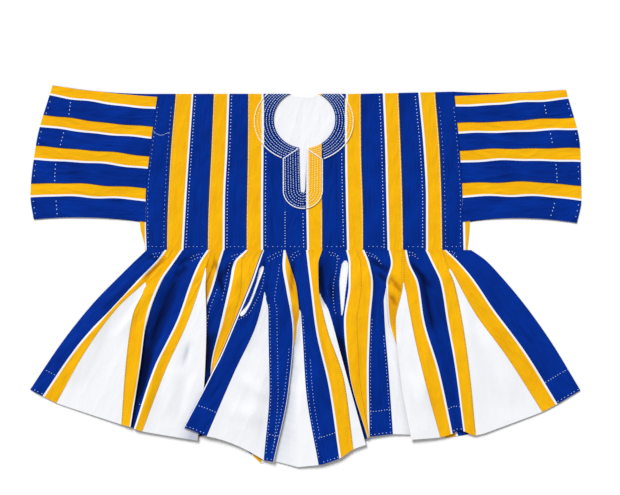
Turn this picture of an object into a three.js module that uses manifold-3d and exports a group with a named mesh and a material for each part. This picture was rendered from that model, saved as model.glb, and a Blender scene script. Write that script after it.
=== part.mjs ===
// A batakari smock lying flat, front up: handwoven blue, gold and white strips sewn edge to edge,
// wide square sleeves, an embroidered neck ring with a slit placket, and a skirt of strips and
// white gores whose folds rise and tuck under one another.
//
// Millimetres. +X is the viewer's right, +Y runs from hem to neck, +Z is up off the surface.
// The origin is under the middle of the garment's outline.

import * as THREE from "three";
import { mergeVertices } from "three/addons/utils/BufferGeometryUtils.js";
import Module from "manifold-3d";

const wasm = await Module();
wasm.setup();

// ---- driving dimensions -------------------------------------------------------------------

const CLOTH = 1.2; // thickness of the handwoven cloth
const TRIM = 1.0; // thickness of lining, ring and placket cloth
const GAP = 0.3; // air between pieces that touch in the real smock
const SEAM = 0.25; // how far each piece stops short of its seam line

const BACK_LEVEL = CLOTH / 2; // middle of the back layer, which lies on the surface
const SIDE_LEVEL = CLOTH * 1.5 + GAP; // middle of the front layer where it rests on the back
const LINING_LEVEL = CLOTH + GAP + TRIM / 2;
const CHEST_RISE = 1.4; // how much higher the front lies over the lining
const CHEST_HALF = 200; // half width of the raised chest
const SIDE_HALF = 392; // half width of the bodice

const WAIST = 67.5; // height of the waist seam on the page
const SHOULDER = 457.5; // height of the shoulder seam

const HOLE = { x: -3, y: 392, radius: 75 }; // neck hole
const RING = { x: -4, y: 399, radius: 124 }; // outer edge of the embroidered ring
const SLIT = { left: -15.5, right: 1.5, top: 330, shoulder: 222, tip: 210 };
const PLACKET = { left: -56.5, right: 43.5, bend: 216, bottom: 170 };
const LINING = { left: -112, right: 106, bottom: 145, top: 455 };

const COLOUR = {
  blue: 0x062a96,
  gold: 0xf9b414,
  white: 0xf2f2f6,
};

// ---- tables -------------------------------------------------------------------------------

// Where each bodice seam lies, left to right, at five heights.
const BODICE_HEIGHT = [SHOULDER, 317, 192, 138, WAIST];
const BODICE_SEAMS = [
  // name        shoulder chest ribs armhole waist
  ["left side", -369, -388, -399, -399, -397],
  ["one", -324, -336, -343, -345, -346],
  ["two", -229, -235, -241, -243, -244],
  ["three", -143, -144, -146, -147, -147],
  ["centre", -52, -51, -51, -51, -51],
  ["four", 40, 39, 41, 42, 42],
  ["five", 138, 139, 143, 144, 144],
  ["six", 232, 238, 242, 243, 244],
  ["seven", 324, 335, 340, 341, 342],
  ["right side", 372, 385, 392, 392, 392],
];
// The back shows past the front below each armhole.
const BACK_SIDES = {
  left: [-369, -388, -399, -414, -399],
  right: [372, 385, 392, 411, 399],
};

// The right shoulder seam climbs a little past the fifth seam.
const SHOULDER_CLIMB = { from: 138, slope: 0.024 };

// Cuff corners of the sleeves, x and y, from shoulder to underarm at the heights of the armhole,
// which is the side of the bodice. The edges between bow a little.
const SLEEVES = {
  left: {
    cuff: [[-632, 479], [-673, 332], [-687, 201], [-679, 144]],
    bow: { top: -6, bottom: 8 },
  },
  right: {
    cuff: [[651, 468], [686, 321], [689, 192], [678, 135]],
    bow: { top: -5, bottom: 11 },
  },
};
const ARMHOLE_CORNERS = 4;
const SLEEVE_COLUMNS = 4;
const SLEEVE_RISE = 1.5; // loft in the middle of a sleeve's upper layer

// Fractions of the way from waist to hem at which the tables give the skirt, and how many steps
// the cloth takes between them: more where it turns over into a fold.
const DOWN = [0, 0.07, 0.18, 0.38, 0.66, 1];
const STEPS_BETWEEN = [1, 1, 3, 5, 4];

// The front skirt across, in the order that the cloth runs: a row for each seam, crest and fold.
// x at waist, tuck, hip, thigh, knee and hem; y of the hem; level of the cloth at hip, knee and
// hem; and for a fold, where it begins and whether the cloth turns down or up there.
const DOWNWARD = -2.8;
const UPWARD = 2.6;
const FRONT_SKIRT = [
  // name        waist tuck  hip  thigh knee  hem   hemY  hip  knee hem  fold from, turn
  ["left side", -397, -423, -462, -530, -608, -688, -281, 2.1, 2.1, 2.1],
  ["a crest", -373, -396, -434, -501, -588, -671, -290, 7, 8, 5],
  ["a stripe", -349, -368, -407, -476, -568, -654, -298, 7, 7, 4.5],
  ["a gore", -331, -351, -389, -470, -548, -622, -315, 6, 6, 4],
  ["gore b", -328, -348, -385, -431, -448, -459, -368, 7, 9, 7],
  ["b edge", -310, -331, -363, -395, -412, -436, -375, 9, 13, 12, 0.36, DOWNWARD],
  ["b tuck", -305, -326, -357, -388, -428, -453, -376, 7, 7.5, 7, 0.37, DOWNWARD],
  ["b floor", -289, -297, -326, -358, -397, -431, -377, 4, 3.6, 3.4],
  ["b stripe", -243, -263, -284, -315, -375, -426, -378, 9, 12, 12],
  ["b gore", -234, -246, -260, -291, -348, -407, -385, 9, 11, 8],
  ["gore c edge", -231, -240, -249, -247, -251, -269, -408, 10, 11, 8, 0, -2.4],
  ["c tuck", -226, -234, -256, -263, -270, -290, -406, 6.6, 6.4, 4.8, 0, -1.9],
  ["c stripe", -206, -223, -234, -250, -260, -280, -403, 4.2, 3.4, 2.6],
  ["c turn", -147, -177, -187, -208, -236, -225, -392, 8, 5, 4.4, 0.6, UPWARD],
  ["c seam", -143, -160, -160, -181, -231, -260, -388, 10, 12, 10.8],
  ["d edge", -108, -119, -131, -174, -226, -303, -374, 9, 14.6, 11.4, 0.58, UPWARD],
  ["d crest", -100, -109, -121, -160, -213, -284, -380, 9.4, 16, 15.4],
  ["d gore", -84, -88, -97, -119, -178, -246, -396, 8, 13, 13],
  ["gore e", -81, -85, -94, -93, -90, -104, -457, 8, 9, 8],
  ["e edge", -58, -56, -46, -30, -42, -79, -460, 9, 13, 12, 0.2, DOWNWARD],
  ["e tuck", -44, -35, -24, -22, -66, -98, -462, 6, 7, 7, 0.37, -2.2],
  ["gore f floor", -41, -31, -16, -13, -36, -70, -466, 5, 3.8, 3.6],
  ["gore f", -37, -27, -10, -4, 2, 33, -470, 8, 10, 9],
  ["f stripe", 4, 8, 15, 28, 61, 87, -452, 9, 11, 10],
  ["f gore", 42, 34, 36, 55, 95, 119, -428, 10, 12, 9],
  ["g edge", 46, 40, 43, 68, 105, 151, -418, 6, 12, 9.4, 0.36, DOWNWARD],
  ["g tuck", 50, 46, 50, 74, 88, 134, -414, 4.8, 6.8, 5.4, 0.37, -2],
  ["g floor", 60, 62, 62, 84, 102, 147, -408, 4.2, 3.6, 2.6],
  ["g stripe", 104, 110, 110, 98, 110, 155, -400, 9, 13, 10],
  ["g seam", 127, 137, 139, 128, 134, 159, -400, 10, 13, 9.6],
  ["h stripe", 144, 157, 166, 159, 158, 163, -398, 10, 12, 9],
  ["h shade", 150, 163, 173, 172, 178, 181, -396, 4.8, 8, 7],
  ["h gore", 203, 204, 194, 197, 207, 218, -391, 8, 8, 7],
  ["i turn", 208, 210, 206, 212, 262, 292, -395, 7, 4.5, 3.8, 0.38, UPWARD],
  ["gore i edge", 243, 244, 243, 229, 238, 264, -405, 9, 9, 8.2, 0.4, UPWARD],
  ["gore j", 247, 249, 250, 264, 293, 336, -400, 9, 10, 8],
  ["j stripe", 252, 264, 277, 296, 330, 365, -390, 10, 12, 9],
  ["j floor", 271, 284, 301, 321, 352, 381, -388, 4.8, 6, 5],
  ["j gold", 302, 317, 339, 354, 376, 396, -383, 9, 11, 8],
  ["j gore", 341, 350, 372, 391, 409, 425, -398, 8, 8, 6],
  ["gore k", 345, 354, 376, 421, 503, 591, -337, 8, 7, 4],
  ["k stripe", 349, 377, 413, 465, 545, 627, -318, 8, 8, 4],
  ["k crest", 370, 412, 449, 505, 580, 657, -300, 7, 7, 4],
  ["right side", 392, 449, 486, 545, 615, 687, -283, 2.1, 2.1, 2.1],
];
// The pieces that are cut and sewn to make the front skirt, each from one row to another.
const FRONT_SKIRT_PIECES = [
  ["front_skirt_strip_a", "left side", "a gore", "blue"],
  ["front_skirt_gore_a", "a gore", "gore b", "white"],
  ["front_skirt_strip_b", "gore b", "b gore", "blue"],
  ["front_skirt_gore_b", "b gore", "gore c edge", "white"],
  ["front_skirt_strip_c", "gore c edge", "c seam", "blue"],
  ["front_skirt_strip_d", "c seam", "d gore", "blue"],
  ["front_skirt_gore_c", "d gore", "gore e", "white"],
  ["front_skirt_strip_e", "gore e", "e tuck", "blue"],
  ["front_skirt_gore_d", "e tuck", "gore f", "white"],
  ["front_skirt_strip_f", "gore f", "f gore", "blue"],
  ["front_skirt_gore_e", "f gore", "g edge", "white"],
  ["front_skirt_strip_g", "g edge", "g seam", "blue"],
  ["front_skirt_strip_h", "g seam", "h gore", "blue"],
  ["front_skirt_gore_f", "h gore", "i turn", "white"],
  ["front_skirt_strip_i", "i turn", "gore i edge", "gold"],
  ["front_skirt_gore_g", "gore i edge", "gore j", "white"],
  ["front_skirt_strip_j", "gore j", "j gore", "blue"],
  ["front_skirt_gore_h", "j gore", "gore k", "white"],
  ["front_skirt_strip_k", "gore k", "right side", "blue"],
];

// The back skirt lies flat. Each seam fans out from the waist: x at the waist, x and y at the hem,
// and the colour of the piece to its right.
const FAN = 0.87; // exponent of the fan: seams flare early, just under the waist
const BACK_SKIRT = [
  // waist  hem   hemY  piece to the right
  [-399, -683, -279, "back_skirt_strip_a", "blue"],
  [-318, -610, -309, "back_skirt_gore_a", "white"],
  [-315, -469, -356, "back_skirt_strip_b", "blue"],
  [-160, -360, -378, "back_skirt_gore_b", "white"],
  [-157, -221, -400, "back_skirt_strip_c", "blue"],
  [-1, -111, -462, "back_skirt_gore_c", "white"],
  [2, 81, -408, "back_skirt_strip_d", "blue"],
  [157, 190, -386, "back_skirt_gore_d", "white"],
  [160, 329, -402, "back_skirt_strip_e", "blue"],
  [315, 439, -388, "back_skirt_gore_e", "white"],
  [318, 599, -326, "back_skirt_strip_f", "blue"],
  [399, 682, -281],
];

// Pocket mouths: how far across the piece and down the skirt each end lies, and how wide it is.
const POCKETS = [
  {
    name: "pocket_left_lining",
    between: ["d crest", "d gore"],
    top: { across: 0.28, down: 0.09 },
    bottom: { across: 0.16, down: 0.33 },
    width: 0.26,
  },
  {
    name: "pocket_right_lining",
    between: ["g floor", "g stripe"],
    top: { across: 0.76, down: 0.06 },
    bottom: { across: 0.6, down: 0.34 },
    width: 0.26,
  },
];
const POCKET_LIFT = 0.6; // air under a pocket's lining, which bridges the facets of the cloth
const POCKET_STEPS = 4;

// ---- cloth as solids ----------------------------------------------------------------------

const point = (x, y, z) => new THREE.Vector3(x, y, z);
const mix = THREE.MathUtils.lerp;

// The level of the middle of the front layer over the bodice: it rests on the back at the sides
// and rises over the lining in the middle.
function chestLevel(x) {
  const inward = SIDE_HALF - Math.abs(x);
  return SIDE_LEVEL + CHEST_RISE * THREE.MathUtils.smoothstep(inward, 0, SIDE_HALF - CHEST_HALF);
}

const near = (list, k) => list[THREE.MathUtils.clamp(k, 0, list.length - 1)];

// Upward unit normals of a grid of points, from the directions to the neighbours on both sides,
// which count alike however near they are, so that a narrow fold keeps its thickness.
function normalsOf(grid) {
  const along = (before, p, after) => {
    const [coming, going] = [p.clone().sub(before), after.clone().sub(p)];
    return coming.normalize().add(going.normalize());
  };
  return grid.map((row, i) =>
    row.map((p, j) => {
      const across = along(near(grid, i - 1)[j], p, near(grid, i + 1)[j]);
      const down = along(near(row, j - 1), p, near(row, j + 1));
      return down.cross(across).normalize();
    }),
  );
}

// A wall of cloth: the grid's points moved half the thickness both ways along the normals,
// closed round its four edges.
function wall(grid, thickness, normals = normalsOf(grid)) {
  const rows = grid.length;
  const columns = grid[0].length;
  const layer = rows * columns;
  const positions = [];
  for (const side of [0.5, -0.5])
    grid.forEach((row, i) =>
      row.forEach((p, j) => {
        const moved = p.clone().addScaledVector(normals[i][j], side * thickness);
        positions.push(moved.x, moved.y, moved.z);
      }),
    );
  const index = [];
  const quad = (a, b, c, d) => index.push(a, b, c, a, c, d);
  const at = (i, j) => i * columns + j;
  for (let i = 0; i + 1 < rows; i++)
    for (let j = 0; j + 1 < columns; j++) {
      const corners = [at(i, j), at(i, j + 1), at(i + 1, j + 1), at(i + 1, j)];
      quad(...corners);
      const [a, b, c, d] = corners.map((k) => k + layer);
      index.push(a, c, b, a, d, c);
    }
  for (let i = 0; i + 1 < rows; i++) {
    const [a, b] = [at(i, 0), at(i + 1, 0)];
    quad(a, b, b + layer, a + layer);
    const [c, d] = [at(i, columns - 1), at(i + 1, columns - 1)];
    quad(d, c, c + layer, d + layer);
  }
  // Both sides of a seam split their edges the same way, so that they match where they twist.
  for (let j = 0; j + 1 < columns; j++) {
    const [a, b] = [at(0, j), at(0, j + 1)];
    quad(b, a, a + layer, b + layer);
    const [c, d] = [at(rows - 1, j), at(rows - 1, j + 1)];
    quad(d, d + layer, c + layer, c);
  }
  const geometry = new THREE.BufferGeometry();
  geometry.setAttribute("position", new THREE.Float32BufferAttribute(positions, 3));
  geometry.setIndex(index);
  return geometry;
}

// Rows first to last of a grid, with the outer rows pulled in, square to the seam, so that a seam
// has its gap.
function pieceOf(grid, normals, first, last) {
  const rows = grid.slice(first, last + 1).map((row) => row.map((p) => p.clone()));
  const pulled = (edge, inner) =>
    edge.map((p, j) => {
      const seam = near(edge, j + 1).clone().sub(near(edge, j - 1)).normalize();
      const way = inner[j].clone().sub(p);
      way.addScaledVector(seam, -way.dot(seam)).normalize();
      return p.clone().addScaledVector(way, SEAM);
    });
  const left = pulled(rows[0], rows[1]);
  const right = pulled(rows.at(-1), rows.at(-2));
  rows[0] = left;
  rows[rows.length - 1] = right;
  return wall(rows, CLOTH, normals.slice(first, last + 1));
}

function solidOf(geometry) {
  const bare = geometry.clone();
  bare.deleteAttribute("normal");
  bare.deleteAttribute("uv");
  const merged = mergeVertices(bare, 1e-4);
  return new wasm.Manifold(
    new wasm.Mesh({
      numProp: 3,
      vertProperties: new Float32Array(merged.attributes.position.array),
      triVerts: new Uint32Array(merged.index.array),
    }),
  );
}

function geometryOf(solid) {
  const mesh = solid.getMesh();
  const geometry = new THREE.BufferGeometry();
  geometry.setAttribute("position", new THREE.BufferAttribute(mesh.vertProperties, 3));
  geometry.setIndex(new THREE.BufferAttribute(mesh.triVerts, 1));
  return geometry;
}

// A tall prism on an outline, to cut cloth with.
const CUTTER = { bottom: -20, height: 60 };
function cutter(shape, segments) {
  const geometry = new THREE.ExtrudeGeometry(shape, {
    depth: CUTTER.height,
    bevelEnabled: false,
    curveSegments: segments,
  });
  geometry.translate(0, 0, CUTTER.bottom);
  return solidOf(geometry);
}

function disc(x, y, radius) {
  return new THREE.Shape().absarc(x, y, radius, 0, 2 * Math.PI, false);
}

// ---- the pieces ---------------------------------------------------------------------------

const smock = new THREE.Group();

function add(name, geometry, colour) {
  geometry.computeVertexNormals();
  const finish = { color: COLOUR[colour], roughness: 0.85, metalness: 0, flatShading: true };
  const mesh = new THREE.Mesh(geometry, new THREE.MeshStandardMaterial(finish));
  mesh.name = name;
  smock.add(mesh);
}

// Rows of a bodice layer: each seam's points from shoulder to waist.
function bodiceGrid(seams, level) {
  const climb = (x) => SHOULDER_CLIMB.slope * Math.max(0, x - SHOULDER_CLIMB.from);
  return seams.map((xs) =>
    xs.map((x, j) => {
      const shoulder = j === 0 ? climb(x) : 0;
      const waist = j === xs.length - 1 ? GAP : 0;
      return point(x, BODICE_HEIGHT[j] + shoulder + waist, level(x));
    }),
  );
}

const frontSeams = BODICE_SEAMS.map(([, ...xs]) => xs);
const backSeams = [BACK_SIDES.left, ...frontSeams.slice(1, -1), BACK_SIDES.right];

const HOLE_SEGMENTS = 40;
const slitShape = new THREE.Shape([
  new THREE.Vector2(SLIT.left, SLIT.top),
  new THREE.Vector2(SLIT.left, SLIT.shoulder),
  new THREE.Vector2((SLIT.left + SLIT.right) / 2, SLIT.tip),
  new THREE.Vector2(SLIT.right, SLIT.shoulder),
  new THREE.Vector2(SLIT.right, SLIT.top),
]);
// Between the seams of the middle strip the hole runs straight up through the shoulder, under
// the ends of the ring.
const NOTCH = { left: -52, right: 41, bottom: 430, top: 470 };
const notchShape = new THREE.Shape([
  new THREE.Vector2(NOTCH.left, NOTCH.bottom),
  new THREE.Vector2(NOTCH.right, NOTCH.bottom),
  new THREE.Vector2(NOTCH.right, NOTCH.top),
  new THREE.Vector2(NOTCH.left, NOTCH.top),
]);
const neckCut = cutter(disc(HOLE.x, HOLE.y, HOLE.radius), HOLE_SEGMENTS)
  .add(cutter(slitShape, 1))
  .add(cutter(notchShape, 1));

function frontBodice() {
  const seams = frontSeams;
  const grid = bodiceGrid(seams, chestLevel);
  const normals = normalsOf(grid);
  for (let k = 0; k + 1 < grid.length; k++) {
    let geometry = pieceOf(grid, normals, k, k + 1);
    const [left, right] = [seams[k][0], seams[k + 1][0]];
    if (right > HOLE.x - HOLE.radius && left < HOLE.x + HOLE.radius)
      geometry = geometryOf(solidOf(geometry).subtract(neckCut));
    add(`front_strip_${k + 1}`, geometry, "blue");
  }
}

// Behind the shoulder seam the neck hole and its ring go on, so on the back, folded under, they
// are the same circles mirrored in the seam. The ring is let into the back, flush with it.
const mirrored = (circle) => ({ ...circle, y: 2 * SHOULDER - circle.y });

function backBodice() {
  const seams = backSeams;
  const grid = bodiceGrid(seams, () => BACK_LEVEL);
  const normals = normalsOf(grid);
  const ring = mirrored(RING);
  const ringCut = cutter(disc(ring.x, ring.y, ring.radius + GAP), HOLE_SEGMENTS);
  for (let k = 0; k + 1 < grid.length; k++) {
    let geometry = pieceOf(grid, normals, k, k + 1);
    const [left, right] = [seams[k][0], seams[k + 1][0]];
    if (right > ring.x - ring.radius && left < ring.x + ring.radius)
      geometry = geometryOf(solidOf(geometry).subtract(ringCut));
    add(`back_strip_${k + 1}`, geometry, "blue");
  }
}

// One layer of a sleeve: columns from armhole to cuff, each from shoulder to underarm.
function sleeveLayer(name, sleeve, armhole, isBack) {
  const grid = [];
  const side = Math.sign(armhole[0].x);
  for (let i = 0; i < SLEEVE_COLUMNS; i++) {
    const out = i / (SLEEVE_COLUMNS - 1);
    const bow = 4 * out * (1 - out);
    grid.push(
      sleeve.cuff.map(([cuffX, cuffY], j) => {
        const down = j / (ARMHOLE_CORNERS - 1);
        const rise = isBack ? 0 : SLEEVE_RISE * bow * 4 * down * (1 - down);
        return point(
          mix(armhole[j].x + side * 2 * SEAM, cuffX, out),
          mix(armhole[j].y, cuffY, out) + bow * mix(sleeve.bow.top, sleeve.bow.bottom, down),
          armhole[j].z + rise,
        );
      }),
    );
  }
  add(name, wall(side < 0 ? grid.reverse() : grid, CLOTH), "blue");
}

function sleeves() {
  const front = bodiceGrid(frontSeams, () => SIDE_LEVEL);
  const back = bodiceGrid(backSeams, () => BACK_LEVEL);
  for (const [side, edge] of [["left", 0], ["right", frontSeams.length - 1]]) {
    sleeveLayer(`sleeve_${side}_front`, SLEEVES[side], front[edge], false);
    sleeveLayer(`sleeve_${side}_back`, SLEEVES[side], back[edge], true);
  }
}

// The white lining on the inside of the back, seen through the neck hole and the slit. Its top
// follows the back of the neck hole.
const LINING_COLUMNS = 14;
function lining() {
  const hole = mirrored(HOLE);
  const grid = [];
  for (let i = 0; i <= LINING_COLUMNS; i++) {
    const x = mix(LINING.left, LINING.right, i / LINING_COLUMNS);
    const reach = (hole.radius + GAP) ** 2 - (x - hole.x) ** 2;
    const neckline = reach > 0 ? hole.y - Math.sqrt(reach) : Infinity;
    const top = Math.min(LINING.top, neckline);
    grid.push([point(x, top, LINING_LEVEL), point(x, LINING.bottom, LINING_LEVEL)]);
  }
  add("back_lining", wall(grid, TRIM), "white");
}

// The neck ring lies on the front in two halves, from the shoulder seam down to the mitres of
// the placket, and goes on behind as a crescent in the back.
const RING_STEPS = 11;
const ringLevel = (x) => chestLevel(x) + CLOTH / 2 + GAP + TRIM / 2;

// A point of a circle below its centre, at a given x.
const underneath = (circle, x) => circle.y - Math.sqrt(circle.radius ** 2 - (x - circle.x) ** 2);
const ringHole = { ...HOLE, radius: HOLE.radius + GAP };

function ringHalf(name, mitre, side) {
  const edges = [
    { circle: ringHole, x: mitre.inner },
    { circle: RING, x: mitre.outer },
  ].map(({ circle, x }) => {
    const start = Math.atan2(underneath(circle, x) - circle.y, (x - circle.x) * side);
    const end = Math.asin((SHOULDER - SEAM - circle.y) / circle.radius);
    const points = [];
    for (let k = 0; k <= RING_STEPS; k++) {
      const angle = mix(start, end, k / RING_STEPS);
      const px = circle.x + side * circle.radius * Math.cos(angle);
      points.push(point(px, circle.y + circle.radius * Math.sin(angle), ringLevel(px)));
    }
    return points.reverse();
  });
  add(name, wall(side < 0 ? edges.reverse() : edges, TRIM), "blue");
}

function neckRing() {
  ringHalf("neck_ring_left", { inner: SLIT.left - GAP, outer: PLACKET.left }, -1);
  ringHalf("neck_ring_right", { inner: SLIT.right + GAP, outer: PLACKET.right }, 1);
  const [hole, ring] = [mirrored(HOLE), mirrored(RING)];
  const below = (circle, angle) =>
    point(
      circle.x + circle.radius * Math.sin(angle),
      circle.y - circle.radius * Math.cos(angle),
      BACK_LEVEL,
    );
  const inner = [];
  const outer = [];
  for (let k = 0; k <= 2 * RING_STEPS; k++) {
    const across = k / RING_STEPS - 1;
    const spread = (circle) => Math.acos((circle.y - SHOULDER + SEAM) / circle.radius);
    inner.push(below(hole, across * spread(hole)));
    outer.push(below(ring, across * spread(ring)));
  }
  add("neck_ring_back", wall([inner, outer].map((points) => points.reverse()), CLOTH), "blue");
}

// The placket: a U of embroidered cloth round the slit, mitred into the ring.
const PLACKET_STEPS = 12;
const MITRE_GAP = 0.6; // measured down the slit, because the mitre slopes
function placket() {
  const middle = (PLACKET.left + PLACKET.right) / 2;
  const half = (PLACKET.right - PLACKET.left) / 2;
  const tip = (SLIT.left + SLIT.right) / 2;
  const slitHalf = (SLIT.right - SLIT.left) / 2 + GAP;
  const ends = (side) => [
    [RING, middle + side * half],
    [ringHole, tip + side * slitHalf],
  ].map(([circle, x]) => point(x, underneath(circle, x) - MITRE_GAP, 0));
  const edges = ends(-1).map((p) => [p]);
  for (let k = 0; k <= PLACKET_STEPS; k++) {
    const turn = Math.PI * (k / PLACKET_STEPS);
    const [sideways, downwards] = [Math.cos(turn), Math.sin(turn)];
    const bend = mix(PLACKET.bend, PLACKET.bottom, downwards);
    const tipBend = mix(SLIT.shoulder, SLIT.tip - GAP, downwards);
    edges[0].push(point(middle - half * sideways, bend, 0));
    edges[1].push(point(tip - slitHalf * sideways, tipBend, 0));
  }
  ends(1).forEach((p, k) => edges[k].push(p));
  for (const p of edges.flat()) p.z = ringLevel(p.x);
  add("placket", wall(edges, TRIM), "blue");
}

// ---- the skirt ----------------------------------------------------------------------------

const HIP = DOWN[2];
const KNEE = DOWN[4];
const STATIONS = [0].concat(
  STEPS_BETWEEN.flatMap((steps, k) =>
    Array.from({ length: steps }, (_, i) => mix(DOWN[k], DOWN[k + 1], (i + 1) / steps)),
  ),
);

// The value at a height between the tables' heights, of a quantity given at those heights.
function between(heights, values, down) {
  const k = Math.min(heights.findLastIndex((h) => h <= down), heights.length - 2);
  return mix(values[k], values[k + 1], (down - heights[k]) / (heights[k + 1] - heights[k]));
}

// A row of the front skirt as points down the cloth. At the waist the cloth lies as the bodice
// does, and the table gives its level from there on.
function skirtRow({ xs, hemY, levels }) {
  const allLevels = [chestLevel(xs[0]), ...levels];
  return STATIONS.map((down) => {
    const level = between([0, HIP, KNEE, 1], allLevels, down);
    return point(between(DOWN, xs, down), mix(WAIST - GAP, hemY, down), level);
  });
}

// Where cloth folds back, a second row just above or below the first gives the fold its
// thickness. Above the place where the fold begins, it lies beside the first instead.
const FOLD_BEGINS_OVER = 0.12;
const BESIDE = 2.2;
function turnedRow(row, begins, turn) {
  return row.map((p, j) => {
    const folded = THREE.MathUtils.clamp((STATIONS[j] - begins) / FOLD_BEGINS_OVER, 0, 1);
    return point(p.x + BESIDE * (1 - folded), p.y, p.z + turn * folded);
  });
}

// One line of the front skirt's table, with its columns by name.
function columnsOf([name, ...numbers]) {
  const xs = numbers.slice(0, DOWN.length);
  const [hemY, atHip, atKnee, atHem, begins, turn] = numbers.slice(DOWN.length);
  return { name, xs, hemY, levels: [atHip, atKnee, atHem], begins, turn };
}

function frontSkirt() {
  const grid = [];
  const places = new Map();
  for (const row of FRONT_SKIRT.map(columnsOf)) {
    const points = skirtRow(row);
    places.set(row.name, grid.length);
    grid.push(points);
    if (row.turn) grid.push(turnedRow(points, row.begins, row.turn));
  }
  const normals = normalsOf(grid);
  for (const [name, from, to, colour] of FRONT_SKIRT_PIECES) {
    const geometry = pieceOf(grid, normals, places.get(from), places.get(to));
    add(name, geometry, colour);
  }
  return { grid, normals, places };
}

function backSkirt() {
  const grid = BACK_SKIRT.map(([waist, hem, hemY]) =>
    DOWN.map((down) =>
      point(mix(waist, hem, down ** FAN), mix(WAIST - GAP, hemY, down), BACK_LEVEL),
    ),
  );
  const normals = normalsOf(grid);
  BACK_SKIRT.slice(0, -1).forEach(([, , , name, colour], k) =>
    add(name, pieceOf(grid, normals, k, k + 1), colour),
  );
}

// A point on the front skirt between two neighbouring rows, on the triangles that the wall is
// made of, and the cloth's normal there.
function onSkirt({ grid, normals }, row, across, down) {
  const j = STATIONS.findLastIndex((d, k) => d <= down && k + 1 < STATIONS.length);
  const part = (down - STATIONS[j]) / (STATIONS[j + 1] - STATIONS[j]);
  const blend = (list) => {
    const [a, b, c, d] = [list[row][j], list[row][j + 1], list[row + 1][j + 1], list[row + 1][j]];
    const onEdge = part > across ? [b, part, c, b, across] : [d, across, c, d, part];
    const [corner, first, end, start, second] = onEdge;
    const moved = a.clone().addScaledVector(corner.clone().sub(a), first);
    return moved.addScaledVector(end.clone().sub(start), second);
  };
  return { place: blend(grid), normal: blend(normals).normalize() };
}

function pockets(skirt) {
  for (const { name, between, top, bottom, width } of POCKETS) {
    const row = skirt.places.get(between[1]) - 1;
    const edges = [-0.5, 0.5].map((side) => {
      const points = [];
      for (let k = 0; k <= POCKET_STEPS; k++) {
        const along = k / POCKET_STEPS;
        const across = mix(top.across, bottom.across, along) + side * width;
        const down = mix(top.down, bottom.down, along);
        const { place, normal } = onSkirt(skirt, row, across, down);
        const lift = CLOTH / 2 + POCKET_LIFT + TRIM / 2;
        points.push(place.addScaledVector(normal, lift));
      }
      return points;
    });
    add(name, wall(edges, TRIM), "white");
  }
}

frontBodice();
backBodice();
sleeves();
lining();
neckRing();
placket();
const skirt = frontSkirt();
pockets(skirt);
backSkirt();

export default smock;
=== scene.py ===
# %% [markdown]
# # A batakari smock, laid out flat
# A batakari is sewn from narrow handwoven strips, set edge to edge. Blue, gold and white yarns
# run down each strip. Wide sleeves cross the body, white gores widen the skirt, and the neck has
# a ring of hand stitching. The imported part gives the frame, and this lesson weaves the looks on it.

import math

import bpy
import numpy as np
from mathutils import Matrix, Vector
from mathutils.bvhtree import BVHTree


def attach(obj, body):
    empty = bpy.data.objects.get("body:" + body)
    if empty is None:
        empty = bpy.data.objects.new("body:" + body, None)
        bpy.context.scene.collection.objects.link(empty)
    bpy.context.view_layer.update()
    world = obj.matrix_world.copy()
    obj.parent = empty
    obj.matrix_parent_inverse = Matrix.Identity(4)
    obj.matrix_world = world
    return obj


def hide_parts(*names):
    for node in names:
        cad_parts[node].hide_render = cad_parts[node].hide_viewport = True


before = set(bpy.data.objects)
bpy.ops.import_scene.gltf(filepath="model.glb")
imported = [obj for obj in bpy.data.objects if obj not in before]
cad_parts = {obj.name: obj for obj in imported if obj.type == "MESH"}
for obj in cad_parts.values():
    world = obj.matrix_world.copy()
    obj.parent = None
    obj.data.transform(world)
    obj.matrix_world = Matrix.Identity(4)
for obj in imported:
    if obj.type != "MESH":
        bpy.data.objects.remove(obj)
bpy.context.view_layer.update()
print("packed nodes:", len(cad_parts))

# %% [markdown]
# ## Units and cloth thickness
# Garments are measured in millimetres, and Blender's frame is in metres, so every table below is
# in millimetres and is scaled once, where a mesh is made. The seed keeps the hand-made
# unevenness the same on each run.

# %% Units
MM = 0.001
CLOTH = 1.2  # thickness of a strip
TRIM = 1.0  # thickness of the neck's cloth and the linings
SEAM = 0.25  # half the gap between two pieces
GAP = 0.3  # air between two layers
WAIST = 67.5  # y of the waist seam
WAIST_GAP = 0.06
SHOULDER = 457.5  # y of the shoulder
rng = np.random.default_rng(7)
print("cloth is", CLOTH, "mm thick")

# %% [markdown]
# ## A smooth line through a few measured places
# A seam is measured at a few heights, and the real one bends evenly between them. A spline that
# never swings past its points is the safe choice, because neighbouring folds must not cross.

# %% Monotone curve
def through(places, values, at):
    """Cubic Hermite curve through (places, values). Each slope is the harmonic mean 2ab/(a + b) of its
    neighbours' a and b, or level where they differ in sign."""
    places, values = np.asarray(places, float), np.asarray(values, float)
    at = np.asarray(at, float)
    order = np.argsort(places)
    places, values = places[order], values[order]
    steps = np.diff(places)
    rises = np.diff(values) / steps
    same_way = rises[:-1] * rises[1:] > 0
    safe = np.where(same_way, rises[:-1] + rises[1:], 1.0)
    inner = np.where(same_way, 2 * rises[:-1] * rises[1:] / safe, 0.0)
    slopes = np.concatenate([rises[:1], inner, rises[-1:]])
    k = np.clip(np.searchsorted(places, at, side="right") - 1, 0, len(steps) - 1)
    t = (at - places[k]) / steps[k]
    start = (1 + 2 * t) * (1 - t) ** 2 * values[k] + t * (1 - t) ** 2 * steps[k] * slopes[k]
    end = t * t * (3 - 2 * t) * values[k + 1] - t * t * (1 - t) * steps[k] * slopes[k + 1]
    return start + end


def smooth(x):
    """3x² − 2x³ between 0 and 1."""
    x = np.clip(x, 0, 1)
    return x * x * (3 - 2 * x)


def mix(a, b, t):
    """a at t = 0 and b at t = 1, straight between."""
    return a + (b - a) * t


print("halfway up a smooth step:", smooth(0.5))

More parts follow.
